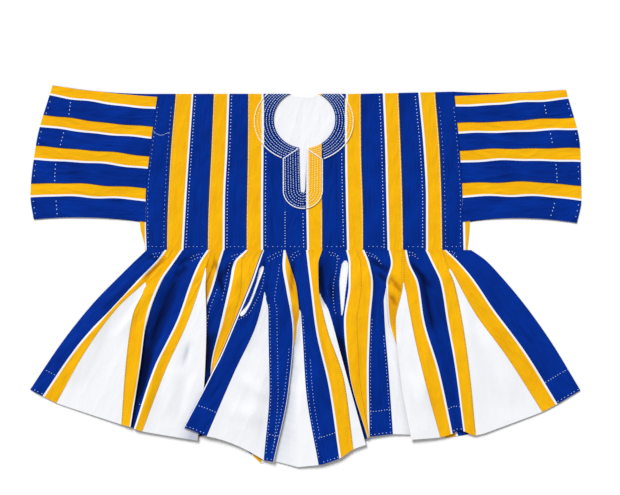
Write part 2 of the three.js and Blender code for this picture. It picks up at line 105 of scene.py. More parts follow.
# %% [markdown]
# ## Cloth as a wall on a grid
# Each piece of cloth is a grid of points across and down. Thickness comes from moving the grid
# half of it both ways along the normals and closing the rim. Solidify could do this, but here a
# fold turns right over, and normals that weigh both neighbours alike keep it full.

# %% Grid normals
def unit(v):
    """Each vector divided by its length."""
    return v / np.maximum(np.linalg.norm(v, axis=-1, keepdims=True), 1e-9)


def normals_of(grid):
    """Cross product of the mean directions down and across, at each point."""
    wide = np.pad(grid, ((1, 1), (1, 1), (0, 0)), mode="edge")
    across = unit(grid - wide[:-2, 1:-1]) + unit(wide[2:, 1:-1] - grid)
    down = unit(grid - wide[1:-1, :-2]) + unit(wide[1:-1, 2:] - grid)
    return unit(np.cross(down, across))


def lengths(grid, axis):
    """Distance run along one axis of the grid, starting from nothing."""
    steps = np.linalg.norm(np.diff(grid, axis=axis), axis=-1)
    run = np.cumsum(steps, axis=axis)
    pad = [(0, 0), (0, 0)]
    pad[axis] = (1, 0)
    return np.pad(run, pad)


FLAT = np.array([[[0, 0, 0], [0, -1, 0]], [[1, 0, 0], [1, -1, 0]]], float)
print("normal of a flat grid:", normals_of(FLAT)[0, 0])

# %% Wall faces
def wall_faces(colours):
    """Quads of the upper side, the lower side and the four rims, with each one's colour."""
    m, n = colours.shape[0] + 1, colours.shape[1] + 1
    at = np.arange(m * n).reshape(m, n)
    layer = m * n
    a, b, c, d = at[:-1, :-1], at[:-1, 1:], at[1:, 1:], at[1:, :-1]
    parts = [
        (np.stack([a, b, c, d], -1), colours),
        (np.stack([a, d, c, b], -1) + layer, colours),
    ]
    rims = [
        (at[:-1, 0], at[1:, 0], colours[:, 0]),
        (at[1:, -1], at[:-1, -1], colours[:, -1]),
        (at[0, 1:], at[0, :-1], colours[0]),
        (at[-1, :-1], at[-1, 1:], colours[-1]),
    ]
    for start, end, colour in rims:
        parts.append((np.stack([start, end, end + layer, start + layer], -1), colour))
    faces = np.concatenate([quads.reshape(-1, 4) for quads, _ in parts])
    return faces, np.concatenate([colour.reshape(-1) for _, colour in parts])


print("faces of one square of cloth:", len(wall_faces(np.zeros((1, 1), int))[0]))

# %% [markdown]
# ## Yarn and weave
# Handspun cotton is uneven. A strip shows its warp: fine lines along its length, a shade lighter
# or darker, with slubs where a yarn thickens, and the weft crossing as small ribs. One node group
# holds that for every colour, fed by each piece's own UV map, whose unit is a metre of cloth.

# %% Node helpers
def new_group(name, inputs, outputs):
    """A shader group with named sockets: inputs are (name, type, value), outputs (name, type)."""
    group = bpy.data.node_groups.new(name, "ShaderNodeTree")
    for label, kind, value in inputs:
        socket = group.interface.new_socket(label, in_out="INPUT", socket_type=kind)
        socket.default_value = value
    for label, kind in outputs:
        group.interface.new_socket(label, in_out="OUTPUT", socket_type=kind)
    return group, group.nodes.new("NodeGroupInput"), group.nodes.new("NodeGroupOutput")


def math_node(tree, operation, a, b=0.0, c=0.0, clamp=False):
    """One sum of a, b and c, each a socket or a number. The result is its output socket."""
    node = tree.nodes.new("ShaderNodeMath")
    node.operation = operation
    node.use_clamp = clamp
    for socket, value in zip(node.inputs, (a, b, c)):
        if isinstance(value, bpy.types.NodeSocket):
            tree.links.new(value, socket)
        else:
            socket.default_value = value
    return node.outputs[0]


def noise(tree, vector, scale, detail=3.0, roughness=0.6):
    """Soft noise from 0 to 1 on a vector socket."""
    node = tree.nodes.new("ShaderNodeTexNoise")
    node.inputs["Scale"].default_value = scale
    node.inputs["Detail"].default_value = detail
    node.inputs["Roughness"].default_value = roughness
    tree.links.new(vector, node.inputs["Vector"])
    return node.outputs["Fac"]


def stretched(tree, vector, scale):
    """The vector scaled by a different amount each way."""
    node = tree.nodes.new("ShaderNodeVectorMath")
    node.operation = "MULTIPLY"
    tree.links.new(vector, node.inputs[0])
    node.inputs[1].default_value = scale
    return node.outputs[0]


def blend_colours(tree, amount, first, second):
    """Mixes two colours, each a socket or a value, by an amount socket."""
    node = tree.nodes.new("ShaderNodeMix")
    node.data_type = "RGBA"
    tree.links.new(amount, node.inputs["Factor"])
    for label, value in (("A", first), ("B", second)):
        socket = next(s for s in node.inputs if s.name == label and s.type == "RGBA")
        if isinstance(value, bpy.types.NodeSocket):
            tree.links.new(value, socket)
        else:
            socket.default_value = value
    return next(s for s in node.outputs if s.type == "RGBA")


print("node helpers ready")

# %% Handwoven group
COLOUR = "NodeSocketColor"
FLOAT = "NodeSocketFloat"
VECTOR = "NodeSocketVector"
WARP_COUNT = 900  # yarns in a metre
WEFT_COUNT = 620


def ribs(tree, place, count):
    """|sin(π · place · count)|: a rounded rib for each yarn."""
    phase = math_node(tree, "MULTIPLY", place, math.pi * count)
    return math_node(tree, "ABSOLUTE", math_node(tree, "SINE", phase))


def handwoven_group():
    """Warp lines, weft ribs and slubs: a colour, a height from 0 to 1 and a roughness."""
    group, given, put = new_group(
        "Handwoven cotton",
        [
            ("Vector", VECTOR, (0, 0, 0)),
            ("Yarn", COLOUR, (0.5, 0.5, 0.5, 1)),
            ("Deep yarn", COLOUR, (0.3, 0.3, 0.3, 1)),
            ("Streak", FLOAT, 0.5),
            ("Rib", FLOAT, 0.2),
        ],
        [("Color", COLOUR), ("Height", FLOAT), ("Roughness", FLOAT)],
    )
    where = given.outputs["Vector"]
    parts = group.nodes.new("ShaderNodeSeparateXYZ")
    group.links.new(where, parts.inputs[0])
    warp = ribs(group, parts.outputs["X"], WARP_COUNT)
    weft = ribs(group, parts.outputs["Y"], WEFT_COUNT)
    height = math_node(group, "MULTIPLY_ADD", weft, 0.45, math_node(group, "MULTIPLY", warp, 0.4))
    lines = noise(group, stretched(group, where, (420, 9, 1)), 1.0, detail=4.0)
    slubs = noise(group, stretched(group, where, (90, 260, 1)), 1.0, detail=2.0)
    broad = noise(group, stretched(group, where, (16, 10, 1)), 1.0, detail=2.0)
    shade = math_node(group, "MULTIPLY_ADD", lines, 0.5, math_node(group, "MULTIPLY", broad, 0.5))
    above = math_node(group, "SUBTRACT", shade, 0.32, clamp=True)
    dark = math_node(group, "MULTIPLY", above, 2.6, clamp=True)
    streaked = math_node(group, "MULTIPLY", dark, given.outputs["Streak"])
    between = math_node(group, "SUBTRACT", 1.0, weft)
    ribbed = math_node(group, "MULTIPLY", between, given.outputs["Rib"])
    amount = math_node(group, "ADD", streaked, ribbed, clamp=True)
    colour = blend_colours(group, amount, given.outputs["Yarn"], given.outputs["Deep yarn"])
    group.links.new(colour, put.inputs["Color"])
    group.links.new(math_node(group, "MULTIPLY_ADD", slubs, 0.35, height), put.inputs["Height"])
    group.links.new(math_node(group, "MULTIPLY_ADD", slubs, 0.2, 0.72), put.inputs["Roughness"])
    return group


HANDWOVEN = handwoven_group()
print("group:", HANDWOVEN.name)

# %% [markdown]
# ## Soft creases in the cloth
# Cotton that has been folded keeps faint, wandering creases, too shallow for the mesh. A second
# group turns stretched noise into a low height that every cloth adds to its bump.

# %% Crease group
def crease_group():
    """Ridges where stretched noise crosses its middle, on a slow billow: a height from 0 to 1."""
    group, given, put = new_group(
        "Soft creases",
        [("Vector", VECTOR, (0, 0, 0)), ("Scale", FLOAT, 14.0), ("Depth", FLOAT, 0.5)],
        [("Height", FLOAT)],
    )
    scaled = group.nodes.new("ShaderNodeVectorMath")
    scaled.operation = "SCALE"
    group.links.new(given.outputs["Vector"], scaled.inputs[0])
    group.links.new(given.outputs["Scale"], scaled.inputs["Scale"])
    longways = stretched(group, scaled.outputs[0], (1.5, 0.55, 1))
    wander = noise(group, longways, 1.0, detail=3.0, roughness=0.5)
    away = math_node(group, "ABSOLUTE", math_node(group, "SUBTRACT", wander, 0.5))
    ridge = math_node(group, "SUBTRACT", 1.0, math_node(group, "MULTIPLY", away, 7.0), clamp=True)
    billow = noise(group, stretched(group, scaled.outputs[0], (0.7, 0.35, 1)), 1.0, detail=1.0)
    both = math_node(group, "MULTIPLY_ADD", ridge, 0.35, billow)
    group.links.new(math_node(group, "MULTIPLY", both, given.outputs["Depth"]), put.inputs["Height"])
    return group


CREASES = crease_group()
print("group:", CREASES.name)

# %% Cloth materials
def add_group(tree, group, **values):
    """Places a group in a material, with its own values."""
    node = tree.nodes.new("ShaderNodeGroup")
    node.node_tree = group
    for label, value in values.items():
        node.inputs[label.replace("_", " ")].default_value = value
    return node


WEAVE_DEPTH = 0.0004  # metres


def start_material(name):
    """An empty cloth material: its tree, its Principled shader and its UV socket."""
    material = bpy.data.materials.new(name)
    material.use_nodes = True
    tree = material.node_tree
    shader = tree.nodes["Principled BSDF"]
    shader.inputs["Specular IOR Level"].default_value = 0.06
    uv = tree.nodes.new("ShaderNodeUVMap")
    uv.uv_map = "cloth"
    return material, tree, shader, uv.outputs["UV"]


def add_bump(tree, shader, fine, broad, broad_depth):
    """Weave and creases as two bumps, one on the other."""
    creased = tree.nodes.new("ShaderNodeBump")
    creased.inputs["Distance"].default_value = broad_depth
    tree.links.new(broad, creased.inputs["Height"])
    woven = tree.nodes.new("ShaderNodeBump")
    woven.inputs["Distance"].default_value = WEAVE_DEPTH
    woven.inputs["Strength"].default_value = 0.6
    tree.links.new(fine, woven.inputs["Height"])
    tree.links.new(creased.outputs["Normal"], woven.inputs["Normal"])
    tree.links.new(woven.outputs["Normal"], shader.inputs["Normal"])


def cloth_material(name, yarn, deep, shade, streak, rib, crease_scale, crease_depth):
    """A cotton in two shades of one yarn, with its weave and creases, and shade painted into its colour deep
    in the folds.
    """
    material, tree, shader, uv = start_material(name)
    woven = add_group(tree, HANDWOVEN, Yarn=yarn, Deep_yarn=deep, Streak=streak, Rib=rib)
    creased = add_group(tree, CREASES, Scale=crease_scale, Depth=1.0)
    tree.links.new(uv, woven.inputs["Vector"])
    tree.links.new(uv, creased.inputs["Vector"])
    # Painted shade: a per-point attribute mixes the shade colour into the yarn deep in the folds.
    painted_shade = tree.nodes.new("ShaderNodeAttribute")
    painted_shade.attribute_name = "painted_shade"
    colour = blend_colours(tree, painted_shade.outputs["Fac"], woven.outputs["Color"], shade)
    tree.links.new(colour, shader.inputs["Base Color"])
    tree.links.new(woven.outputs["Roughness"], shader.inputs["Roughness"])
    add_bump(tree, shader, woven.outputs["Height"], creased.outputs["Height"], crease_depth)
    return material


ROYAL = (0.0, 0.034, 0.34, 1)
NAVY = (0.0, 0.009, 0.12, 1)
DEEP_ROYAL = (0.0, 0.017, 0.2, 1)
GOLD = (0.91, 0.505, 0.004, 1)
AMBER = (0.80, 0.31, 0.002, 1)
SNOW = (0.88, 0.89, 0.92, 1)
PEARL = (0.76, 0.78, 0.85, 1)
# Painted shade: each yarn darkened, to be mixed in deep in the folds where shade falls.
BLUE_PAINTED_SHADE = (0.0, 0.003, 0.03, 1)
GOLD_PAINTED_SHADE = (0.42, 0.13, 0.002, 1)
WHITE_PAINTED_SHADE = (0.46, 0.50, 0.60, 1)
# Each cloth's yarn, darker yarn and the shade colour painted deep in its folds, then its streaks, ribs,
# crease scale and crease depth in metres.
BLUE_CLOTH = cloth_material("Royal blue strip", ROYAL, NAVY, BLUE_PAINTED_SHADE, 0.8, 0.12, 14.0, 0.0046)
GOLD_CLOTH = cloth_material("Gold strip", GOLD, AMBER, GOLD_PAINTED_SHADE, 0.65, 0.10, 14.0, 0.0040)
LINE_CLOTH = cloth_material("White yarn line", SNOW, PEARL, WHITE_PAINTED_SHADE, 0.25, 0.12, 14.0, 0.0010)
GORE_CLOTH = cloth_material("White gore cotton", SNOW, PEARL, WHITE_PAINTED_SHADE, 0.20, 0.05, 8.0, 0.0024)
LINING_CLOTH = cloth_material("White lining cotton", SNOW, PEARL, WHITE_PAINTED_SHADE, 0.20, 0.05, 11.0, 0.0030)
PALETTE = [BLUE_CLOTH, GOLD_CLOTH, LINE_CLOTH, GORE_CLOTH]
BLUE, GOLDEN, LINE, WHITE = range(4)
print("cloths:", [m.name for m in PALETTE])

# %% [markdown]
# ## Making one piece of cloth
# A finished piece is a mesh at the origin, with its palette, a UV map in metres whose V runs
# along the warp, and its own place in the frame. Each is also listed as the flat sheet that
# was cut for it, measured on the grid itself.

# %% Cloth object
def cloth_uv(grid, warp_across):
    """Distance across from the middle and distance down, in metres, swapped if the warp runs across."""
    u = lengths(grid, 0)
    u = u - u[-1:] / 2
    v = lengths(grid, 1)
    return np.stack([v, u] if warp_across else [u, v], -1) * MM


SHARP = 60  # degrees between two faces from which their edge stays sharp


def mesh_object(name, points, faces, materials, colours, uv):
    """Puts arrays into a new smooth-shaded mesh object at the origin."""
    mesh = bpy.data.meshes.new(name)
    mesh.from_pydata(points.tolist(), [], faces.tolist())
    for material in materials:
        mesh.materials.append(material)
    mesh.polygons.foreach_set("material_index", colours.astype(np.int32))
    layer = mesh.uv_layers.new(name="cloth")
    layer.data.foreach_set("uv", uv[faces.reshape(-1)].astype(np.float32).reshape(-1))
    mesh.polygons.foreach_set("use_smooth", np.ones(len(faces), bool))
    mesh.set_sharp_from_angle(angle=math.radians(SHARP))
    obj = bpy.data.objects.new(name, mesh)
    bpy.context.scene.collection.objects.link(obj)
    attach(obj, "root")
    return obj


NARROWEST = 12.0
sheets = []


def flat_sheet(obj, grid):
    """Lists a piece as a sheet: its width along its lower edge, its length and its area."""
    length = lengths(grid, 1)[:, -1].max() * MM
    one = np.cross(grid[1:, :-1] - grid[:-1, :-1], grid[:-1, 1:] - grid[:-1, :-1])
    two = np.cross(grid[1:, :-1] - grid[1:, 1:], grid[:-1, 1:] - grid[1:, 1:])
    area = (np.linalg.norm(one, axis=-1).sum() + np.linalg.norm(two, axis=-1).sum()) / 2 * MM * MM
    width = max(lengths(grid, 0)[-1, -1] * MM, area / length, NARROWEST * MM)
    sheets.append((obj.name, width, length, area))


def cloth(name, grid, colours, thickness=CLOTH, normals=None, palette=PALETTE,
          warp_across=False, painted_shade=None):
    """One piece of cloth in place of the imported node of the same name.

    Its colours are spread over the grid: a column of them runs across, a row runs down."""
    normals = normals_of(grid) if normals is None else normals
    half = normals * thickness / 2
    points = np.concatenate([(grid + half).reshape(-1, 3), (grid - half).reshape(-1, 3)])
    faces, face_colours = wall_faces(np.broadcast_to(colours, (len(grid) - 1, grid.shape[1] - 1)))
    uv = np.tile(cloth_uv(grid, warp_across).reshape(-1, 2), (2, 1))
    obj = mesh_object(name + "_cloth", points * MM, faces, palette, face_colours, uv)
    # Painted shade, one value per point, kept as an attribute for the material.
    if painted_shade is not None:
        layer = obj.data.attributes.new("painted_shade", "FLOAT", "POINT")
        layer.data.foreach_set("value", np.tile(painted_shade.reshape(-1), 2).astype(np.float32))
    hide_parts(name)
    flat_sheet(obj, grid)


print("pieces so far:", len(sheets))

# %% [markdown]
# ## Creases laid one by one
# The larger creases are in the mesh. Each is a soft ridge or trough from one place to another,
# with a width and a height. They are a function of the place on the page alone, so both sides of
# a seam and every layer of a fold move together and nothing is cut through.

# %% Crease field
# x, y of one end, x, y of the other, half width, height
CREASES_FRONT = np.array([
    [-372, 330, -300, 250, 22, 1.3],
    [-380, 150, -300, 190, 20, 1.2],
    [-250, 300, -200, 120, 24, 0.9],
    [-170, 240, -60, 110, 26, 0.9],
    [90, 140, 190, 210, 26, 1.0],
    [210, 90, 230, 330, 24, 0.9],
    [300, 160, 385, 120, 20, 1.2],
    [290, 330, 370, 260, 24, 1.2],
    [-640, 430, -420, 400, 26, 1.5],
    [-660, 300, -430, 320, 28, 1.4],
    [-670, 190, -420, 240, 26, 1.6],
    [-600, 160, -410, 160, 18, 1.2],
    [430, 420, 640, 440, 26, 1.5],
    [420, 320, 670, 350, 28, 1.4],
    [410, 250, 680, 220, 26, 1.6],
    [420, 165, 600, 160, 18, 1.2],
], float)


def crease_height(x, y, table=CREASES_FRONT):
    """Sum of ridges: height · exp(−(distance/width)²), fading towards both ends."""
    total = np.zeros(np.shape(x))
    for x0, y0, x1, y1, width, height in table:
        dx, dy = x1 - x0, y1 - y0
        size = math.hypot(dx, dy)
        along = ((x - x0) * dx + (y - y0) * dy) / size**2
        aside = ((x - x0) * dy - (y - y0) * dx) / size
        fade = smooth((along + 0.15) / 0.4) * smooth((1.15 - along) / 0.4)
        total += height * np.exp(-((aside / width) ** 2)) * fade
    return total


print("creases:", len(CREASES_FRONT))

# %% [markdown]
# ## The bodice: nine strips from shoulder to waist
# Each strip carries a gold band at one edge, a white line and a blue field, mirrored about the
# middle, and the two outer strips are blue. The seams were measured at five heights. The neck
# hole and its slit simply end some threads early, because the ring and placket hide those edges.

# %% Bodice lines
BODICE_HEIGHT = [SHOULDER, 317, 192, 138, WAIST]
SEAM_LINES = {
    "left side": [-369, -388, -399, -399, -397],
    "one": [-324, -336, -343, -345, -346],
    "two": [-229, -235, -241, -243, -244],
    "three": [-143, -144, -146, -147, -147],
    "centre": [-52, -51, -51, -51, -51],
    "four": [40, 39, 41, 42, 42],
    "five": [138, 139, 143, 144, 144],
    "six": [232, 238, 242, 243, 244],
    "seven": [324, 335, 340, 341, 342],
    "right side": [372, 385, 392, 392, 392],
}
BACK_SIDES = {"left side": [-369, -388, -399, -414, -399], "right side": [372, 385, 392, 411, 405]}
# Where gold meets the white line and the white line meets blue, strip by strip.
STRIPE_HEIGHT = [SHOULDER, 317, 192, WAIST]
STRIPES = {
    2: ([-284, -294, -303, -310], [-280, -290, -298, -305]),
    3: ([-195, -200, -206, -207], [-190, -195, -201, -202]),
    4: ([-110, -110, -111, -111], [-105, -105, -106, -106]),
    5: ([2, 2, 2, 4], [7, 7, 7, 9]),
    6: ([101, 99, 101, 104], [106, 104, 106, 109]),
    7: ([193, 199, 202, 205], [198, 204, 207, 210]),
    8: ([282, 295, 301, 301], [287, 300, 306, 306]),
}
# The outer back strips show beside the front, so they have bands too.
BACK_STRIPES = {
    1: ([-376, -393, -402, -401], [-371, -388, -397, -396]),
    9: ([375, 388, 392, 395], [380, 393, 398, 400]),
}
FIRST_MIRRORED = 5
print("strips with stripes:", sorted(STRIPES))

# %% Bodice levels
BACK_LEVEL = CLOTH / 2
SIDE_LEVEL = CLOTH * 1.5 + GAP
LINING_LEVEL = CLOTH + GAP + TRIM / 2
CHEST_RISE = 1.4
CHEST_HALF = 200
SIDE_HALF = 392
HOLE = {"x": -2.6, "y": 394, "wide": 76.6, "tall": 72}
RING = {"x": -4, "y": 388, "wide": 124.8, "tall": 102}
BACK_HOLE = {"x": -3, "y": 523, "wide": 75, "tall": 75}
BACK_RING = {"x": -4, "y": 516, "wide": 124, "tall": 124}
SLIT = {"left": -15.5, "right": 1.5, "shoulder": 222, "tip": 210}
UNDER_RING = 2.5
SLIT_CUT = 2.25
LOFT = 0.25  # air under the front, above the level that it rests at
CLIMB = 0.024  # slope of the shoulder
CLIMB_FROM = 138


def chest_level(x):
    """Side level, rising smoothly to the chest over the lining."""
    return SIDE_LEVEL + CHEST_RISE * smooth((SIDE_HALF - np.abs(x)) / (SIDE_HALF - CHEST_HALF))


def back_level(x):
    """The same level everywhere."""
    return np.full(np.shape(x), BACK_LEVEL)


def oval_below(oval, x, grow=0.0):
    """Lower side of an oval at x: y = centre − tall·√(1 − (dx/wide)²), or no limit outside it."""
    room = 1 - ((x - oval["x"]) / (oval["wide"] + grow)) ** 2
    drop = (oval["tall"] + grow) * np.sqrt(np.maximum(room, 0))
    return np.where(room > 0, oval["y"] - drop, np.inf)


def shoulder_line(x):
    """The shoulder's height, which climbs a little towards the right sleeve."""
    return SHOULDER + CLIMB * np.maximum(0, x - CLIMB_FROM)


def front_top(x):
    """Where the front strips start: the shoulder, the neck hole or the slit's pointed end."""
    top = np.minimum(shoulder_line(x), oval_below(HOLE, x, UNDER_RING))
    middle = (SLIT["left"] + SLIT["right"]) / 2
    half = (SLIT["right"] - SLIT["left"]) / 2 + SLIT_CUT
    point = mix(SLIT["tip"], SLIT["shoulder"], np.minimum(np.abs(x - middle) / half, 1)) - UNDER_RING
    return np.where(np.abs(x - middle) < half, point, top)


def back_top(x):
    """Where the back strips start: the shoulder or the neck ring let into them."""
    return np.minimum(shoulder_line(x), oval_below(BACK_RING, x, GAP))


print("chest level in the middle:", float(chest_level(0)))

# %% Bodice grid
CENTRE_STRIP = 5
BODICE_STATIONS = 52
SEAM_DIP = 0.45
SEAM_WIDTH = 4.0
HAIR = 0.1
PAST_LINE = 0.3


def line_at(xs, heights=BODICE_HEIGHT):
    """A seam as a function of y."""
    return lambda y: through(heights, xs, y)


def strip_bands(strip, stripes):
    """A strip's bands from left to right, as (columns, colour, the line at the right end or None)."""
    if strip not in stripes:
        return [(13, BLUE, None)]
    first, second = (line_at(xs, STRIPE_HEIGHT) for xs in stripes[strip])
    if strip < FIRST_MIRRORED:
        return [(4, GOLDEN, first), (1, LINE, second), (9, BLUE, None)]
    if strip != CENTRE_STRIP:
        return [(9, BLUE, first), (1, LINE, second), (4, GOLDEN, None)]

    def slit_left(y):
        """The left edge of the cut, straight down."""
        return SLIT["left"] - SLIT_CUT + 0 * y

    def slit_right(y):
        """The right edge of the cut, but never left of the white line's start."""
        return np.maximum(SLIT["right"] + SLIT_CUT, first(y) + PAST_LINE)

    def beside(cut, way):
        """The same line, a hair to one side."""
        return lambda y: cut(y) + way * HAIR

    bands = [(5, BLUE, beside(slit_left, -1)), (1, BLUE, beside(slit_left, 1)), (3, BLUE, first)]
    bands += [(1, LINE, beside(slit_right, -1)), (1, LINE, beside(slit_right, 1)), (1, LINE, second)]
    return bands + [(4, GOLDEN, None)]


def strip_grid(strip, left, right, top, level, stripes):
    """Columns across a strip, each from its top to the waist; x follows the bands' own edges."""
    share = np.linspace(0, 1, BODICE_STATIONS)
    columns, colours = [], []
    start = left
    for count, colour, line in strip_bands(strip, stripes):
        end = right if line is None else line
        columns += [(start, end, k / count) for k in range(count)]
        colours += [colour] * count
        last, start = start, end
    columns.append((last, right, 1.0))
    rows = []
    for start, end, part in columns:
        near_top = top(mix(start(SHOULDER), end(SHOULDER), part))
        y = mix(near_top, WAIST + WAIST_GAP, share)
        x = mix(start(y), end(y), part)
        y = mix(top(x[0]), WAIST + WAIST_GAP, share)
        rows.append(np.stack([x, y, level(x)], -1))
    return np.array(rows), np.array(colours)


def seam_dip(grid, edges):
    """Lowers the cloth beside each seam: depth · exp(−(distance/width)²)."""
    for edge in edges:
        away = np.abs(grid[..., 0] - edge(grid[..., 1]))
        grid[..., 2] -= SEAM_DIP * np.exp(-((away / SEAM_WIDTH) ** 2))


def pull_in(grid):
    """Moves the first and the last column half a seam's gap into the piece."""
    for edge, inner in ((0, 1), (-1, -2)):
        grid[edge] = grid[edge] + unit(grid[inner] - grid[edge]) * SEAM


print("stations down a strip:", BODICE_STATIONS)

# %% Front and back strips
FRONT_EDGES = [line_at(xs) for xs in SEAM_LINES.values()]
BACK_EDGES = [line_at(BACK_SIDES.get(name, xs)) for name, xs in SEAM_LINES.items()]
front_strips = {}
back_strips = {}
for strip in range(1, 10):
    left, right = FRONT_EDGES[strip - 1], FRONT_EDGES[strip]
    grid, colours = strip_grid(strip, left, right, front_top, chest_level, STRIPES)
    grid[..., 2] += crease_height(grid[..., 0], grid[..., 1]) + LOFT
    seam_dip(grid, [left, right])
    pull_in(grid)
    front_strips[strip] = grid
    cloth(f"front_strip_{strip}", grid, colours[:, None])

for strip in range(1, 10):
    left, right = BACK_EDGES[strip - 1], BACK_EDGES[strip]
    grid, colours = strip_grid(strip, left, right, back_top, back_level, {**STRIPES, **BACK_STRIPES})
    pull_in(grid)
    back_strips[strip] = grid
    cloth(f"back_strip_{strip}", grid, colours[:, None])
print("bodice strips:", len(front_strips) + len(back_strips))

# %% [markdown]
# ## The sleeves: strips that run from armhole to cuff
# A sleeve is eight strips sewn side by side and folded over the top, so each layer shows four and
# its bands run across the page. Each band's edge is measured at the armhole and at the cuff, the
# cuff bows outwards, and the upper layer lofts a little in the middle.

# %% Sleeve lines
# y at the armhole and at the cuff, the bulge between, and the colour of the cloth below the line
SLEEVE_LINES = {
    "left": [
        [457.5, 479, 0, BLUE], [450, 478.7, 2.6, GOLDEN], [425, 459, 0, LINE], [420, 454.5, 0, BLUE],
        [375, 405, 0, GOLDEN], [350, 380, 0, LINE], [345.5, 375, 0, BLUE],
        [301, 328, 0, GOLDEN], [275, 298, 0, LINE], [270.5, 293, 0, BLUE],
        [221, 233, 0, GOLDEN], [194, 204, 0, LINE], [189, 199, 0, BLUE], [138, 144, 0, None],
    ],
    "right": [
        [463, 468, 0, BLUE], [452, 467.7, 3.0, GOLDEN], [431, 450, 0, LINE], [426, 445.5, 0, BLUE],
        [385, 398, 0, GOLDEN], [363, 372, 0, LINE], [358, 367.5, 0, BLUE],
        [315, 322, 0, GOLDEN], [291, 292, 0, LINE], [286, 287.5, 0, BLUE],
        [234, 227, 0, GOLDEN], [203, 195, 0, LINE], [198, 190.5, 0, BLUE], [138, 135, 0, None],
    ],
}
CUFFS = {
    "left": ([479, 332, 201, 144], [-632, -673, -687, -679]),
    "right": ([468, 321, 192, 135], [651, 686, 689, 678]),
}
BOWS = {"left": (-6, 8), "right": (-5, 11)}
BAND_STEPS = {BLUE: 6, GOLDEN: 4, LINE: 1}
SLEEVE_COLUMNS = 44
SLEEVE_RISE = 1.5
SLEEVE_WANDER = 2.4
print("lines on a sleeve:", len(SLEEVE_LINES["left"]))

# %% Sleeve pieces
def sleeve_wander(out, arm_y):
    """Uneven hand weaving: two sines along the sleeve whose phase changes from band to band."""
    slow = np.sin(9 * out + arm_y / 27)
    quick = np.sin(17 * out + arm_y / 19)
    return SLEEVE_WANDER * 4 * out * (1 - out) * (0.65 * slow + 0.45 * quick)


def sleeve_grid(side, is_back):
    """Straight lines from armhole to cuff, bowed by 4t(1 − t), at each band's own heights."""
    lines = SLEEVE_LINES[side]
    ys, colours = [], []
    for line, next_line in zip(lines, lines[1:]):
        steps = BAND_STEPS[line[3]]
        for k in range(steps):
            ys.append([mix(a, b, k / steps) for a, b in zip(line[:3], next_line[:3])])
            colours.append(line[3])
    ys.append(lines[-1][:3])
    arm_y, cuff_y, bulge = np.array(ys).T
    sign = -1 if side == "left" else 1
    edges = BACK_EDGES if is_back else FRONT_EDGES
    arm_x = edges[0 if side == "left" else -1](np.minimum(arm_y, SHOULDER)) + sign * 2 * SEAM
    cuff_x = through(*CUFFS[side], cuff_y)
    out = np.linspace(0, 1, SLEEVE_COLUMNS)[:, None]
    bow = 4 * out * (1 - out)
    down = (arm_y[0] - arm_y) / (arm_y[0] - arm_y[-1])
    x = mix(arm_x, cuff_x, out)
    y = mix(arm_y, cuff_y, out) + bow * (mix(*BOWS[side], down) + bulge)
    y = y + sleeve_wander(out, arm_y) * np.minimum(1, 12 * down * (1 - down))
    if is_back:
        z = np.full(x.shape, BACK_LEVEL)
    else:
        z = SIDE_LEVEL + SLEEVE_RISE * bow * 4 * down * (1 - down)
        z = z + crease_height(x, y) * smooth(4 * (1 - out)) * smooth(4 * out)
    grid = np.stack([x, y, z], -1)
    return grid[::-1] if side == "left" else grid, np.array(colours)


sleeve_grids = {}
for side in ("left", "right"):
    for layer in ("front", "back"):
        grid, colours = sleeve_grid(side, layer == "back")
        sleeve_grids[side, layer] = grid
        cloth(f"sleeve_{side}_{layer}", grid, colours, warp_across=True)
print("sleeve pieces:", len(sleeve_grids))

# %% [markdown]
# ## The lining of the back
# Through the neck hole and the slit one sees plain white cotton on the inside of the back. It
# follows the back of the neck hole and reaches below the slit.

# %% Lining
LINING = {"left": -112, "right": 106, "bottom": 145, "top": 455}
LINING_COLUMNS = 40
LINING_STATIONS = 40


def lining_grid():
    """Columns from the back of the neck hole, or the lining's own top, to its lower edge."""
    x = np.linspace(LINING["left"], LINING["right"], LINING_COLUMNS)[:, None]
    top = np.minimum(LINING["top"], oval_below(BACK_HOLE, x, GAP))
    y = mix(top, LINING["bottom"], np.linspace(0, 1, LINING_STATIONS))
    z = np.full(y.shape, LINING_LEVEL)
    return np.stack([x + 0 * y, y, z], -1)


PLAIN = 0
cloth("back_lining", lining_grid(), PLAIN, TRIM, palette=[LINING_CLOTH])
print("lining columns:", LINING_COLUMNS)

# %% [markdown]
# ## Ring and placket cloth
# The ring and the placket are worked over the strips' own stripes, so their bands must line up
# with the bodice. Their grids run round the neck instead of down the cloth, so the colour can't
# follow the faces: the material reads the place across the smock and picks the yarn from that.

# %% Striped by place
RING_GOLD = [(-200, -109.5), (7.5, 40.5), (103.5, 200)]
RING_LINES = [(-109.5, -103.5), (2.0, 7.5), (98.5, 103.5)]


def between_mask(tree, x, low, high):
    """1 between two places and 0 outside."""
    above = math_node(tree, "GREATER_THAN", x, low * MM)
    below = math_node(tree, "LESS_THAN", x, high * MM)
    return math_node(tree, "MULTIPLY", above, below)


def stripe_group():
    """Masks for gold and for white lines from the x of Object coordinates."""
    group, given, put = new_group(
        "Stripes by place", [("Vector", VECTOR, (0, 0, 0))], [("Gold", FLOAT), ("Line", FLOAT)]
    )
    parts = group.nodes.new("ShaderNodeSeparateXYZ")
    group.links.new(given.outputs["Vector"], parts.inputs[0])
    for label, spans in (("Gold", RING_GOLD), ("Line", RING_LINES)):
        total = 0.0
        for low, high in spans:
            total = math_node(group, "ADD", between_mask(group, parts.outputs["X"], low, high), total)
        group.links.new(total, put.inputs[label])
    return group


STRIPES_BY_PLACE = stripe_group()


